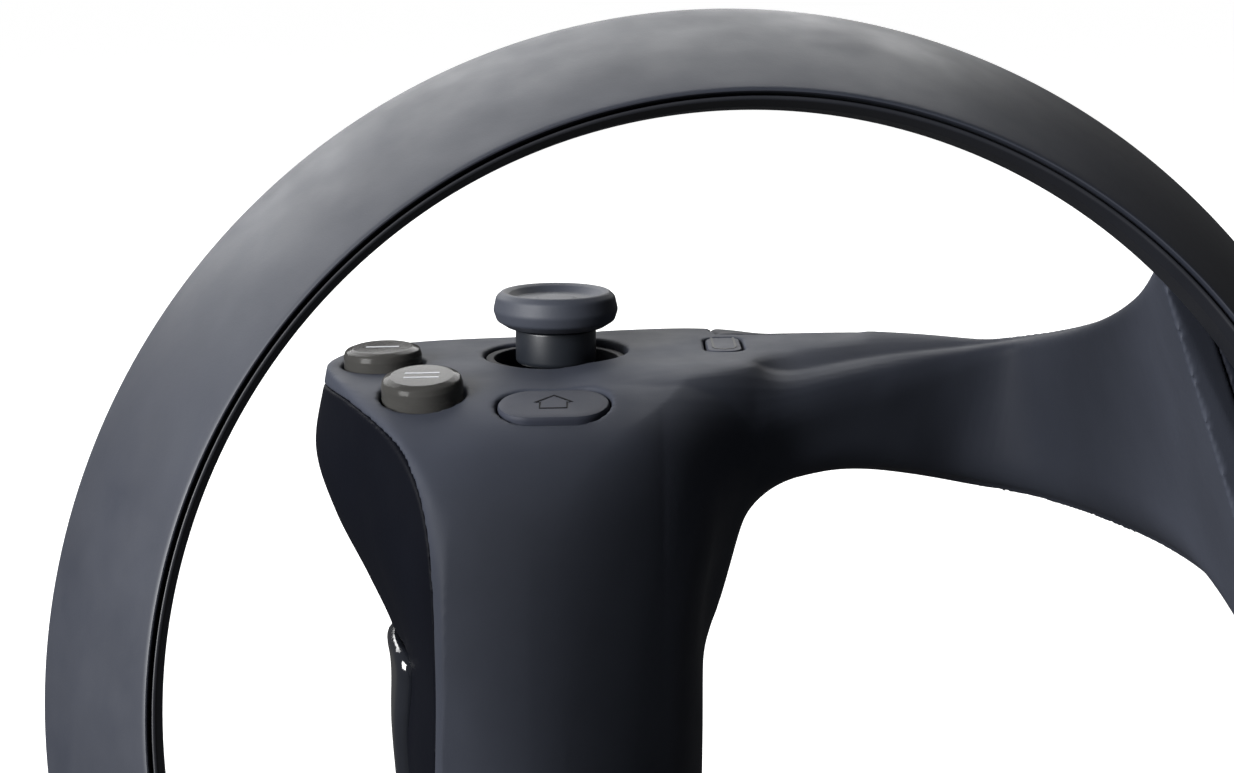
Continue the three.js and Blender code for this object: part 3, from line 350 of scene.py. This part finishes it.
def film(name, base):
    """Polyimide film with copper tracks under it."""
    n = Nodes(name)
    tracks = n.add("ShaderNodeTexWave", {"Vector": n.place, "Scale": 480.0, "Distortion": 0.6})
    n.link("Base Color", n.mix(n.ramp(tracks.outputs["Fac"], 0, 1, 0.4, 0.6), base, (0.62, 0.3, 0.09)))
    n.link("Roughness", n.ramp(n.noise(300.0), 0.3, 0.45))
    return n.material


def polished(name, base, rough=0.08):
    """Polished black plastic: even, with faint handling smears in its gloss."""
    n = Nodes(name)
    smear = n.noise(90.0, 5.0, 0.6)
    n.link("Base Color", n.mix(n.ramp(smear, 0, 1), base, tuple(c * 1.3 for c in base)))
    n.link("Roughness", n.ramp(smear, rough, rough + 0.08))
    n.link("Coat Weight", 0.6)
    n.link("Coat Roughness", 0.05)
    return n.material


def acrylic(name):
    """Smoky clear acrylic."""
    n = Nodes(name)
    haze = n.noise(160.0, 3.0)
    n.link("Base Color", n.mix(n.ramp(haze, 0, 1), (0.075, 0.074, 0.07), (0.11, 0.108, 0.103)))
    n.link("Roughness", n.ramp(haze, 0.12, 0.18))
    n.link("Transmission Weight", 0.6)
    n.link("Specular IOR Level", 0.4)
    n.link("IOR", 1.15)
    return n.material


# The rear shell's colour is lifted about three times above the plain body plastic of the arm cover: painted
# light for its lit back and panel.
SHELL_PAINTED_LIGHT = moulded("moulded_shell_painted_light", (0.034, 0.038, 0.051), 0.6, 1.0, 0.12)
# The front shell, the heel and the stick surround are near black, far below the plain body plastic: painted
# shade for the shaded left side of the head, the grip's underside and the stick's recess.
FRONT_PAINTED_SHADE = moulded("moulded_front_painted_shade", (0.0026, 0.0031, 0.0055), 0.55, 1.0, 0.06)
OPTION = moulded("moulded_option", (0.026, 0.029, 0.042), 0.6, 1.0, 0.22)
COVER = moulded("moulded_cover", (0.012, 0.0135, 0.02), 0.6, 1.0, 0.15)
RING_SKIN = moulded("ring_window", (0.019, 0.022, 0.032), 0.52, 0.6, 0.55)
RING_INNER = moulded("ring_inner", (0.008, 0.009, 0.013), 0.5, 0.6)
STICK_TOP = moulded("stick_grip", (0.03, 0.034, 0.046), 0.58, 1.4, 0.4)
STICK_NECK = moulded("stick_neck", (0.01, 0.012, 0.016), 0.36, 0.5)
TRIGGER_SKIN = moulded("trigger_skin", (0.012, 0.014, 0.019), 0.45, 1.2)
GLOSS = polished("gloss_black", (0.008, 0.009, 0.012))
CLEAR = acrylic("clear_acrylic")
PLATE = moulded("glyph_plate", (0.045, 0.048, 0.056), 0.45, 0.5)
GLYPH = moulded("glyph_ink", (0.36, 0.37, 0.4), 0.5, 0.3)
MARK = moulded("mark_ink", (0.003, 0.003, 0.004), 0.6, 0.3, 0.05)
KEY = moulded("key_satin", (0.024, 0.027, 0.039), 0.6, 1.0, 0.22)
# Near-black colour for a painted groove shade.
GROOVE_PAINTED_SHADE = moulded("groove_painted_shade", (0.006, 0.007, 0.009), 0.6, 0.5)
FRAME = moulded("frame_plastic", (0.055, 0.06, 0.07), 0.62, 1.4)
STEEL = metal("steel", (0.6, 0.61, 0.62), 0.3)
BRASS = metal("brass", (0.68, 0.48, 0.2), 0.3)
BOARD = board("solder_mask")
CHIP = moulded("chip_resin", (0.018, 0.018, 0.02), 0.5, 1.0)
SILICONE = moulded("silicone", (0.4, 0.41, 0.43), 0.7, 0.5)
FLEX = film("polyimide", (0.46, 0.2, 0.05))
WRAP = moulded("cell_wrap", (0.05, 0.11, 0.22), 0.32, 0.4)

BY_SLOT = {
    "shell": SHELL_PAINTED_LIGHT, "front_shell": FRONT_PAINTED_SHADE, "ring_window": RING_SKIN, "gloss_black": GLOSS, "clear": CLEAR,
    "glyph_plate": PLATE, "frame": FRAME, "steel": STEEL, "brass": BRASS, "circuit_board": BOARD,
    "chip": CHIP,
    "silicone": SILICONE, "flex": FLEX, "cell_wrap": WRAP,
}
for entry in frame["record"]["subparts"]:
    node = NODES[entry["node"]]
    node.data.materials.clear()
    node.data.materials.append(BY_SLOT[entry["material_slot"]])

# ---- Fields: signed distances on a grid, negative inside --------------------------------------------

VOXEL = 0.38
REACH = 12.0                   # how far from a surface the distances are true
LOW = np.array([-35.0, -77.0, FLOOR - 1.5])
HIGH = np.array([91.0, 21.0, 28.0])
SIZE = np.ceil((HIGH - LOW) / VOXEL).astype(int)
gx, gy, gz = [(LOW[k] + VOXEL * np.arange(SIZE[k])).astype(np.float32) for k in range(3)]
X, Y, Z = gx[:, None, None], gy[None, :, None], gz[None, None, :]
GRID = openvdb.createLinearTransform(voxelSize=VOXEL)


def field(points, quads, triangles):
    """Signed distances to a closed mesh."""
    grid = openvdb.FloatGrid.createLevelSetFromPolygons(
        np.ascontiguousarray(points - LOW, np.float32), triangles=np.ascontiguousarray(triangles, np.uint32),
        quads=np.ascontiguousarray(quads, np.uint32), transform=GRID, halfWidth=REACH / VOXEL)
    values = np.full(SIZE, REACH, np.float32)
    grid.copyToArray(values, ijk=(0, 0, 0))
    return values


def soft_max(a, b, k):
    """The larger of two fields, with their edge rounded over a width k."""
    h = np.maximum(k - np.abs(a - b), 0) / k
    return np.maximum(a, b) + h * h * k * 0.25


def soft_min(a, b, k):
    return -soft_max(-a, -b, k)


def side_view(line, extend):
    """Signed distance from the region under an open [y, z] line, on a fine 2D grid, and how to read it."""
    curve = catmull([(y, z) for y, z in line], 8)
    outline = np.vstack([curve, extend])
    ys, zs = np.arange(-90, 45, 0.3), np.arange(-100, 32, 0.3)
    p = np.stack(np.meshgrid(ys, zs, indexing="ij"), -1).reshape(-1, 2)
    best = np.full(len(p), 1e9)
    inside = np.zeros(len(p), bool)
    for a, b in zip(outline, np.roll(outline, -1, 0)):
        ab = b - a
        t = np.clip(((p - a) @ ab) / max(ab @ ab, 1e-9), 0, 1)
        best = np.minimum(best, ((p - a - t[:, None] * ab) ** 2).sum(1))
        crosses = (a[1] > p[:, 1]) != (b[1] > p[:, 1])
        with np.errstate(divide="ignore", invalid="ignore"):
            at = a[0] + (p[:, 1] - a[1]) * ab[0] / ab[1]
        inside ^= crosses & (p[:, 0] < at)
    table = (np.sqrt(best) * np.where(inside, -1, 1)).reshape(len(ys), len(zs)).astype(np.float32)

    def read(y, z):
        u = np.clip((y - ys[0]) / 0.3, 0, len(ys) - 1.001)
        v = np.clip((z - zs[0]) / 0.3, 0, len(zs) - 1.001)
        i, j = u.astype(int), v.astype(int)
        fu, fv = u - i, v - j
        return ((table[i, j] * (1 - fu) + table[i + 1, j] * fu) * (1 - fv)
                + (table[i, j + 1] * (1 - fu) + table[i + 1, j + 1] * fu) * fv)
    return read


def swept(read, skew=0.0):
    """The side view's field over the grid. It leans with the panel and moves back to the right by skew."""
    values = np.empty(SIZE, np.float32)
    yy, zz = np.meshgrid(gy, gz, indexing="ij")
    for i, x in enumerate(gx):
        level = zz * math.cos(PANEL_RISE) - x * math.sin(PANEL_RISE)
        values[i] = read(yy - skew * (x - SEAM_LEFT), level)
    return values


def box_field(centre, half, radius=0.0):
    """Signed distance to a box with rounded corners."""
    q = [np.abs(axis - c) - (h - radius) for axis, c, h in zip((X, Y, Z), centre, half)]
    outside = np.sqrt(sum(np.maximum(v, 0) ** 2 for v in q))
    inside = np.minimum(np.maximum(np.maximum(q[0], q[1]), q[2]), 0)
    return (outside + inside - radius).astype(np.float32)


def local(matrix):
    """Grid coordinates in the frame of a placed control."""
    m = np.array(matrix.inverted())
    return [m[k, 0] * X + m[k, 1] * Y + m[k, 2] * Z + m[k, 3] for k in range(3)]


def pill_field(matrix, width, depth, corner, low, high):
    """Signed distance to a raised rounded rectangle at a control's place."""
    u, v, w = local(matrix)
    qu, qv = np.abs(u) - (width / 2 - corner), np.abs(v) - (depth / 2 - corner)
    flat = np.sqrt(np.maximum(qu, 0) ** 2 + np.maximum(qv, 0) ** 2) + np.minimum(np.maximum(qu, qv),
        0) - corner
    return np.maximum(flat, np.maximum(low - w, w - high)).astype(np.float32)


def skin(name, values, body, material, nodes, slot):
    """The surface of a field, as a piece."""
    grid = openvdb.FloatGrid(3 * VOXEL)
    grid.transform = GRID
    grid.copyFromArray(np.clip(values, -3 * VOXEL, 3 * VOXEL), ijk=(0, 0, 0))
    points, quads = grid.convertToQuads(isovalue=0.0)
    return piece(name, points + LOW, quads[:, ::-1], body, material, nodes, slot)


# ---- Head, grip and arm as fields ------------------------------------------------------------------

stations = []
for z, corner, around in COLUMN:
    outline = spaced(catmull([corner, *around, corner], 20), 121)[:-1]
    stations.append(np.column_stack([outline, np.full(len(outline), z)]))
stations = np.array(stations)[::-1]
heights = stations[:, 0, 2]
levels = np.linspace(heights[0], heights[-1], 80)
lines = [catmull(stations[:, k], 12) for k in range(stations.shape[1])]
column_rings = np.stack([np.column_stack([np.interp(levels, line[:, 2], line[:, 0]),
                                          np.interp(levels, line[:, 2], line[:, 1]),
                                          levels]) for line in lines], 1)
loft_field = field(*lofted(column_rings))
ribbon = swept(side_view(RIBBON, [(-42, -95), (30, -95), (30, -3)]))
# The edge of the back is crisp on the left and runs into a broad round on the right
roundness = np.interp(gx, [-14, -2, 14], [1.3, 5.0, 13.0])[:, None, None]
front_roundness = np.interp(gy, [4, 14], [0.0, 3.0])[None, :, None]
backwards = np.interp(gy, [-19, -9], [1, 0.08])[None, :, None]
column = soft_max(loft_field, ribbon, np.maximum(roundness * backwards, front_roundness).astype(np.float32))

ARM_STEPS = 96
rail = {edge: spaced(catmull(points, 16), ARM_STEPS) for edge, points in ARM.items()}
arm_rings = []
for step in range(ARM_STEPS):
    ti, bi, to, bo = [rail[edge][step] for edge in ("top_inner", "bottom_inner", "top_outer",
                                                    "bottom_outer")]
    across = to - ti + bo - bi
    across /= np.linalg.norm(across)
    up = ti - bi + to - bo
    up /= np.linalg.norm(up)
    soft = np.interp(ti[0], [8, 20, 26, 40, 52, 62], [3.0, 7.0, 9.0, 7.5, 4.0, 2.0])
    corners = [ti, to, bo, bi]
    radii = [soft, 4.0, 4.0, 4.0]
    outline = []
    for k in range(4):
        here, before, after = corners[k], corners[k - 1], corners[(k + 1) % 4]
        cut_a = min(radii[k] / np.linalg.norm(before - here), 0.46)
        cut_b = min(radii[k] / np.linalg.norm(after - here), 0.46)
        start, end = here + (before - here) * cut_a, here + (after - here) * cut_b
        for t in np.linspace(0, 1, 9):
            outline.append((1 - t) ** 2 * start + 2 * t * (1 - t) * here + t * t * end)
        far = here + (after - here) * (1 - min(radii[(k + 1) % 4] / np.linalg.norm(after - here), 0.46))
        crown = np.interp(ti[0], [8, 20, 32, 44, 56], [3.4, 3.0, 2.7, 1.6, 0.5])
        bulge, way = ((crown, up), (1.6, across), (0.5, -up), (0.0, up))[k]
        for t in np.linspace(0, 1, 10)[1:-1]:
            outline.append(end + (far - end) * t + way * bulge * math.sin(math.pi * t))
    arm_rings.append(outline)
arm = field(*lofted(np.array(arm_rings)[:, ::-1]))

# The arm grows out of the head through a broad hollow, cut flush with the panel above
body = soft_min(column, arm, ARM_BLEND)
lid_level = gx * math.tan(PANEL_RISE) + np.interp(gx, [30, 42, 50, 60], [0.0, 0.8, 5.0, 60.0])
lid = (Z - lid_level[:, None, None]) * np.float32(math.cos(PANEL_RISE))
body = soft_max(body, lid.astype(np.float32), 0.8)

# Where the arm meets the ring it stops inside the ring's band
rx, ry, rz = X - RING_CENTRE[0], Y - RING_CENTRE[1], Z - RING_CENTRE[2]
ring_s = rx * RING_AXIS[0] + ry * RING_AXIS[1] + rz * RING_AXIS[2]
ring_r = np.sqrt(np.maximum(rx * rx + ry * ry + rz * rz - ring_s * ring_s, 0))
band = RING_RADIUS + (RING_NEAR_RADIUS - RING_RADIUS) * ring_s / RING_DEPTH - 1.9
body = np.maximum(body, -np.maximum(band - ring_r, -2.7 - ring_s)).astype(np.float32)
del rx, ry, rz, ring_s, ring_r, band

# The near button stands 0.5 mm further back and 0.4 mm higher than in the CAD. Home and options rise less
# than there, by 0.35 and 0.25 mm.
FACE_BUTTONS = {"far": (-22.9, -5.1, -0.75, 2.4), "near": (-16.3, -18.9, -1.7, 8.0)}
HOME = {"at": (0.4, -23, -2.45, 12.0), "size": (14.0, 8.4, 4.19), "rise": 0.15}
OPTIONS = {"at": (22.9, 1.9, 0.15, 0.0), "size": (4.8, 10.0, 1.9), "rise": 0.35}
GRIP_BUTTON = {"left": -35.0, "right": -10.6, "near": -25.0, "far": -5.0, "top": -34.6, "bottom": -65.0}
SCREWS = [(-7, -2.2, -43.4), (1, -3.4, -77)]


def window(gap):
    """The opening for the finger button, with rounded corners seen from the side."""
    left, right, near, far, top, bottom = GRIP_BUTTON.values()
    middle = ((left + right) / 2 + gap, (near + far) / 2, (top + bottom) / 2)
    half = ((right - left) / 2 + gap, (far - near) / 2 + gap, (top - bottom) / 2 + gap)
    return box_field(middle, half, 3.0)


holes = []
recess = np.maximum(np.sqrt(X * X + Y * Y) - RECESS_RADIUS, -HOLE_DEPTH - Z)
holes.append(recess.astype(np.float32))
for place in FACE_BUTTONS.values():
    u, v, w = local(on_panel(*place))
    holes.append(np.maximum(np.sqrt(u * u + v * v) - (BUTTON_RADIUS + 0.35),
                            -HOLE_DEPTH - w).astype(np.float32))
for control in (HOME, OPTIONS):
    w, d, c = (value + extra for value, extra in zip(control["size"], (0.5, 0.5, 0.25)))
    holes.append(pill_field(on_panel(*control["at"]), w, d, c, -HOLE_DEPTH, HOLE_DEPTH))
opened = body
for hole in holes:
    opened = soft_max(opened, -hole, HOLE_ROUND)
wall = soft_max(opened, -(body + WALL), 0.3)

ROOM_ROUND = 0.8               # edge rounding of the openings in the front shell
trigger_room = box_field((0, 16, -22), (9.7, 15, 15.5), 1.0)
usb_room = box_field((13.2, 15, -5.4), (4.8, 6, 1.9), 1.5)
front_wall = wall
for room in (trigger_room, usb_room, window(0.5)):
    front_wall = soft_max(front_wall, -room, ROOM_ROUND)
for sx, sy, sz in SCREWS:
    across = np.sqrt((X - sx) ** 2 + (Z - sz) ** 2)
    screw_hole = np.maximum(across - 2.4, -2.0 - (Y - sy)).astype(np.float32)
    front_wall = soft_max(front_wall, -screw_hole, HOLE_ROUND)

front_region = swept(side_view(SEAM, [(30, -95), (30, -6)]), SEAM_SKEW) + SEAM_INSET
nearer = (arm - column) * 0.5
parting = []
for step in range(-2, ARM_STEPS + 2):
    at = min(max(step, 0), ARM_STEPS - 1)
    ti, bi, to, bo = [rail[edge][at] for edge in ("top_inner", "bottom_inner", "top_outer", "bottom_outer")]
    share = np.interp(at / ARM_STEPS, [0, 0.4], [0.93, 0.6])
    top, bottom = ti + (to - ti) * share, bi + (bo - bi) * share
    reach = (top - bottom) * 0.35
    across = (to - ti + bo - bi) / np.linalg.norm(to - ti + bo - bi) * 26
    slide = np.array([-4.0, 0, 0]) * max(-step, 0) + np.array([0, -4.0, 0]) * max(step - ARM_STEPS + 1, 0)
    side = [bottom - reach + (top - bottom + 2 * reach) * t for t in np.linspace(0, 1, 9)]
    parting.append([p + slide for p in side] + [p + slide + across for p in side[::-1]])
arm_region = field(*lofted(np.array(parting)[:, ::-1]))

below = Z - CAP_TOP
half_gap = SEAM_GAP / 2
front_part = np.maximum(front_region, -nearer)
cover_part = np.maximum(arm_region, nearer)
above_cap = (half_gap - below).astype(np.float32)
rear = soft_max(soft_max(wall, half_gap - front_part, SEAM_ROUND), half_gap - cover_part, SEAM_ROUND)
# The rear shell takes the lifted, painted-light colour.
skin("rear_shell_skin", soft_max(rear, above_cap, SEAM_ROUND), "controller_body", SHELL_PAINTED_LIGHT, ["rear_shell"],
     "shell")
front = soft_max(soft_max(front_wall, half_gap + front_part, SEAM_ROUND), above_cap, SEAM_ROUND)
# The front shell takes the near-black painted-shade colour.
skin("front_shell_skin", front, "controller_body", FRONT_PAINTED_SHADE, ["front_shell"], "front_shell")
cover = soft_max(front_wall, half_gap + cover_part, SEAM_ROUND)
skin("arm_cover_skin", cover, "controller_body", COVER, ["arm_outer_cover"], "front_shell")
heel = soft_max(soft_max(column, below + half_gap, SEAM_ROUND), (FLOOR - Z).astype(np.float32), 2.0)
slot_hole = box_field((2, -12, FLOOR), (4.5, 3.5, 3.4), 0.8)
pin_round = np.sqrt((Y + 12) ** 2 + (Z - FLOOR - 1.9) ** 2) - 1.2
pin_hole = np.maximum(pin_round, np.abs(X - 2) - 6.5).astype(np.float32)
heel = soft_max(soft_max(heel, -slot_hole, 0.6), -pin_hole, 0.3)
# The heel takes the same near-black painted-shade colour.
skin("heel_skin", heel, "controller_body", FRONT_PAINTED_SHADE, ["grip_end_cap"], "front_shell")

finger = soft_max(soft_max(column - 1.4, -(column + 1.3), 0.4), window(0.0), 1.6)
skin("finger_button_skin", finger, "side_button", GLOSS, ["grip_button"], "gloss_black")


# ---- Tracking ring ---------------------------------------------------------------------------------

ring_turn = Vector((0, 0, 1)).rotation_difference(Vector(RING_AXIS))
RING_PLACE = Matrix.Translation(Vector(RING_CENTRE)) @ ring_turn.to_matrix().to_4x4()
RING_TURNS = 288
ring_lean = np.array([RING_DEPTH, RING_RADIUS - RING_NEAR_RADIUS])
ring_lean = ring_lean / np.linalg.norm(ring_lean)


def ring_face(s, depth=0.0):
    """A [radius, height] point of the ring's wide face, moved in by depth."""
    share = s / RING_DEPTH
    radius = RING_RADIUS + (RING_NEAR_RADIUS - RING_RADIUS) * share + RING_CROWN * math.sin(math.pi * share)
    return radius - depth * ring_lean[0], s - depth * ring_lean[1]


outer = [(*ring_face(s), 0.0) for s in np.linspace(0.2, RING_DEPTH, 13)]
inner = [(*ring_face(s, 1.5), 0.0) for s in np.linspace(RING_DEPTH - 1.6, 0.6, 9)]
outer[0] = (*outer[0][:2], 0.5)
outer[-1] = (*outer[-1][:2], 0.55)
points, faces = lathe(rounded(outer + inner), RING_TURNS)
piece("ring_cover_skin", moved(points, RING_PLACE), faces, "controller_body", RING_SKIN, ["ring_cover"],
      "ring_window", 40)
wall_line = [(55.5, 18.4, 0.2), (55.1, 18.3, 0.3), (54.8, 16.6, 1.2), (55.4, 12, 4), (59.3, 4, 4),
             (63.6, -2.5, 0.8),
             (67.7, -2.5, 0.8), (68.4, -0.4, 0.3), (*ring_face(0.2, 1.8), 0.2), (65, -0.9, 0.2),
             (60.9, 4.7, 2),
             (57.1, 12.4, 2), (56, 15.7, 0.5), (55.5, 16.3, 0.2)]
points, faces = lathe(rounded(wall_line, 6), RING_TURNS)
piece("ring_inner_skin", moved(points, RING_PLACE), faces, "controller_body", RING_INNER,
      ["ring_inner_shell"], "front_shell", 40)

# ---- Thumbstick ------------------------------------------------------------------------------------

cap_line = [(0.001, 7.35, 0), (2.4, 7.35, 0.5), (3.2, 7.05, 0.6), (5.3, 7.05, 1.0), (6.3, 7.9, 0.8),
            (7.15, STICK_HEIGHT, 0.7),
            (8.05, 7.5, 0.9), (8.45, 5.7, 1.2), (8.0, 4.3, 0.9), (6.6, 3.4, 0.6), (3.4, 3.4, 0),
            (3.4, 5.0, 0), (0.001, 5.0, 0)]
points, faces = lathe(rounded(cap_line, 6), 128)
piece("stick_cap_skin", points, faces, "stick", STICK_TOP, ["stick_cap"], "shell", 50)
neck_line = [(0.001, 4.7, 0), (3.1, 4.7, 0), (3.1, 3.1, 0), (5.45, 3.1, 0.3), (5.45, -1.5, 0.8),
             (2.2, -2.4, 0.5), (1.6, -3.2, 0),
             (1.6, -11.9, 0.2), (0.001, -11.9, 0)]
points, faces = lathe(rounded(neck_line, 5), 96)
piece("stick_neck_skin", points, faces, "stick", STICK_NECK, ["stick_shaft"], "front_shell", 40)
surround_line = [(8.4, -0.95, 0.3), (9.5, -0.95, 0.2), (9.5, -4.1, 0), (8.0, -4.1, 0.3)]
points, faces = lathe(rounded(surround_line, 4), 128)
# The stick surround takes the near-black painted-shade colour, for the shade in the recess.
piece("stick_surround_skin", points, faces, "controller_body", FRONT_PAINTED_SHADE, ["stick_surround"], "front_shell", 40)

# ---- Buttons ---------------------------------------------------------------------------------------


def stroke(name, outline, width, height, matrix, body, material, depth=0.12, closed=False, slot=None):
    """A thin flat line along [x, y] points, at a height over a control's place."""
    line = np.array(outline, float)
    nxt = np.roll(line, -1, 0) if closed else np.vstack([line[1:], 2 * line[-1] - line[-2]])
    prv = np.roll(line, 1, 0) if closed else np.vstack([2 * line[0] - line[1], line[:-1]])
    way = nxt - prv
    way /= np.linalg.norm(way, axis=1)[:, None]
    side = np.column_stack([-way[:, 1], way[:, 0]]) * width / 2
    rings = []
    for p, s in zip(line, side):
        rings.append([(*(p + s), height), (*(p - s), height), (*(p - s), height - depth),
                      (*(p + s), height - depth)])
    points = np.array(rings).reshape(-1, 3)
    faces = []
    count = len(line)
    for i in range(count if closed else count - 1):
        a, b = i * 4, ((i + 1) % count) * 4
        faces += [(a + k, b + k, b + (k + 1) % 4, a + (k + 1) % 4) for k in range(4)]
    if not closed:
        faces += [(0, 1, 2, 3), tuple(count * 4 - 4 + k for k in (3, 2, 1, 0))]
    return piece(name, moved(points, matrix), faces, body, material, (), slot, 30)


r, t = BUTTON_RADIUS, BUTTON_RISE
button_line = [(0.001, t, 0), (r - 1.2, t, 0.4), (r - 0.25, t - 0.35, 0.5), (r, t - 1.1, 0.5),
               (r, -2.6, 0.1), (r + 0.5, -2.6, 0.1),
               (r + 0.5, -BUTTON_SKIRT, 0.1), (0.001, -BUTTON_SKIRT, 0)]
for side, place in FACE_BUTTONS.items():
    at = on_panel(*place)
    points, faces = lathe(rounded(button_line, 6), 96)
    piece(f"clear_button_{side}", moved(points, at), faces, f"{side}_button", CLEAR, [f"button_{side}"],
          "clear", 40)
    plate = rounded([(0.001, -BUTTON_SKIRT - 0.2, 0), (4.7, -BUTTON_SKIRT - 0.2, 0.2),
                     (4.7, -BUTTON_SKIRT - 0.9, 0.1),
                     (0.001, -BUTTON_SKIRT - 0.9, 0)], 3)
    points, faces = lathe(plate, 64)
    piece(f"button_plate_{side}", moved(points, at), faces, f"{side}_button", PLATE,
          [f"button_{side}_plate"], "glyph_plate", 40)
at = on_panel(*FACE_BUTTONS["far"])
stroke("glyph_far", [(-2.2, 0), (0, 0), (2.2, 0)], 0.36, t + 0.04, at, "far_button", GLYPH)
at = on_panel(*FACE_BUTTONS["near"])
for name, y in (("upper", 0.8), ("lower", -0.8)):
    stroke(f"glyph_near_{name}", [(-2.2, y), (0, y), (2.2, y)], 0.36, t + 0.04, at, "near_button", GLYPH)


def pill(width, depth, corner, steps=14):
    """Outline of a rounded rectangle."""
    out = []
    for sx, sy, start in ((1, 1, 0), (-1, 1, 90), (-1, -1, 180), (1, -1, 270)):
        for i in range(steps + 1):
            angle = math.radians(start + 90 * i / steps)
            x = sx * (width / 2 - corner) + corner * math.cos(angle)
            y = sy * (depth / 2 - corner) + corner * math.sin(angle)
            out.append((x, y))
    return np.array(out)


def key(name, control, foot, body, material, node, slot):
    """A pressed-in key with a softly rounded top edge, a flange and a stem."""
    w, d, c = control["size"]
    rise = control["rise"]
    rings = []
    for grow, z in ((0.5, foot), (0.5, foot + 0.9), (0.0, foot + 0.95), (0.0, rise - 0.55),
                    (-0.05, rise - 0.25), (-0.2, rise - 0.06),
                    (-0.5, rise), (-1.2, rise + 0.04)):
        line = pill(w + 2 * grow, d + 2 * grow, c + grow)
        rings.append(np.column_stack([line, np.full(len(line), z)]))
    points, quads, caps = lofted(rings)
    return piece(name, moved(points, on_panel(*control["at"])), [*quads.tolist(), *caps.tolist()], body,
                 material, [node], slot, 40)


key("home_key", HOME, -3.9, "home", KEY, "home_button", "gloss_black")
key("options_key", OPTIONS, -4.6, "options", OPTION, "options_button", "front_shell")
at = on_panel(*HOME["at"])
house = [(-1.7, -1.5), (-1.7, 0.25), (-2.35, 0.25), (-1.2, 1.25), (0, 2.3), (1.2, 1.25), (2.35, 0.25),
         (1.7, 0.25), (1.7, -1.5)]
stroke("home_mark", house, 0.26, HOME["rise"] + 0.09, at, "home", MARK, 0.1, True)
at = on_panel(*OPTIONS["at"])
# A dark stroke on the options key: painted shade standing in for its U-shaped groove.
groove = [(-1.5, 4.4), (-1.5, -2.4), (-1.2, -3.4), (0, -3.9), (1.2, -3.4), (1.5, -2.4), (1.5, 4.4)]
stroke("options_groove_shade", groove, 0.34, OPTIONS["rise"] + 0.09, at, "options", GROOVE_PAINTED_SHADE, 0.1)

# Each rubber dome under the clear buttons gets its own copy of its mesh
for side in FACE_BUTTONS:
    dome = f"dome_{side}"
    foot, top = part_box(dome)
    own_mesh(NODES[dome])

# ---- Trigger ---------------------------------------------------------------------------------------

side = [(8.5, -11.6, 0.6), (9.2, -9.4, 0.8), (11, -8.2, 1), (17.6, -8.3, 2.5), (18.8, -12, 2), (19, -18, 3),
        (20.2, -24, 3),
        (22.6, -29.5, 3), (25.4, -33.4, 0.9), (24.6, -35.4, 0.8), (22.4, -35.8, 0.8), (18, -33.4, 2),
        (15.4, -28.5, 3), (14, -22, 3),
        (13.2, -17, 2), (10, -15.4, 0.8), (8.5, -13.6, 0.6)]
profile = rounded(side, 4)
middle = profile.mean(0)
rings = []
for x, shrink in ((-9, 1.4), (-8.75, 0.8), (-8.3, 0.35), (-7.5, 0.05), (-6.5, 0), (0, -0.15), (6.5, 0),
                  (7.5, 0.05), (8.3, 0.35),
                  (8.75, 0.8), (9, 1.4)):
    nxt, prv = np.roll(profile, -1, 0), np.roll(profile, 1, 0)
    way = (nxt - prv) / np.maximum(np.linalg.norm(nxt - prv, axis=1), 1e-6)[:, None]
    inward = np.column_stack([way[:, 1], -way[:, 0]])
    line = profile + inward * shrink * 0.8
    rings.append(np.column_stack([np.full(len(line), x), line]))
points, quads, caps = lofted(rings)
piece("trigger_skin", points, [*quads.tolist(), *caps.tolist()], "trigger_lever", TRIGGER_SKIN, ["trigger"],
      "front_shell", 45)

# ---- Floor, light and camera -----------------------------------------------------------------------

floor_mesh = bpy.data.meshes.new("floor")
floor_reach = 40.0             # metres
floor_mesh.from_pydata([(-floor_reach, -floor_reach, 0), (floor_reach, -floor_reach, 0),
                        (floor_reach, floor_reach, 0), (-floor_reach, floor_reach, 0)], [], [(0, 1, 2, 3)])
floor = bpy.data.objects.new("floor", floor_mesh)
bpy.context.scene.collection.objects.link(floor)
paper = Nodes("pale_floor")
paper.link("Base Color", paper.mix(paper.ramp(paper.noise(3.0), 0, 1), (0.45, 0.45, 0.45),
                                   (0.48, 0.48, 0.48)))
paper.link("Roughness", 0.9)
paper.link("Specular IOR Level", 0.0)
paper.shader.inputs["Emission Color"].default_value = (1, 1, 1, 1)
paper.link("Emission Strength", 0.96)
floor_mesh.materials.append(paper.material)
floor.visible_diffuse = False
floor.visible_glossy = False
floor.visible_transmission = False

world = bpy.data.worlds.new("studio")
world.use_nodes = True
world.node_tree.nodes["Background"].inputs["Color"].default_value = (1, 1, 1, 1)
world.node_tree.nodes["Background"].inputs["Strength"].default_value = 0.08
bpy.context.scene.world = world

HEAD = ORIGIN + Vector((0.015, -0.03, -0.02))


def lamp(name, offset, size, power, aim=HEAD):
    """A soft rectangular light that faces the controller."""
    data = bpy.data.lights.new(name, "AREA")
    data.shape = "RECTANGLE"
    data.size, data.size_y = size
    data.energy = power
    obj = bpy.data.objects.new(name, data)
    bpy.context.scene.collection.objects.link(obj)
    obj.location = aim + Vector(offset)
    obj.rotation_euler = (aim - obj.location).to_track_quat("-Z", "Y").to_euler()
    return obj


lamp("key", (-0.25, 0.74, 0.56), (1.4, 0.6), 11.0)
lamp("front", (-0.72, -0.62, 0.34), (0.5, 0.5), 24.0)

camera = bpy.data.cameras.new("camera")
camera.lens, camera.sensor_width = 55.75, 36.0
camera.clip_start, camera.clip_end = 0.02, 60.0
view = bpy.data.objects.new("camera", camera)
bpy.context.scene.collection.objects.link(view)
view.location = ORIGIN + Vector((8.3, -255.3, 49.2)) * MM
view.rotation_euler = (math.radians(78), 0, 0)
bpy.context.scene.camera = view
bpy.context.scene.view_settings.view_transform = "Standard"
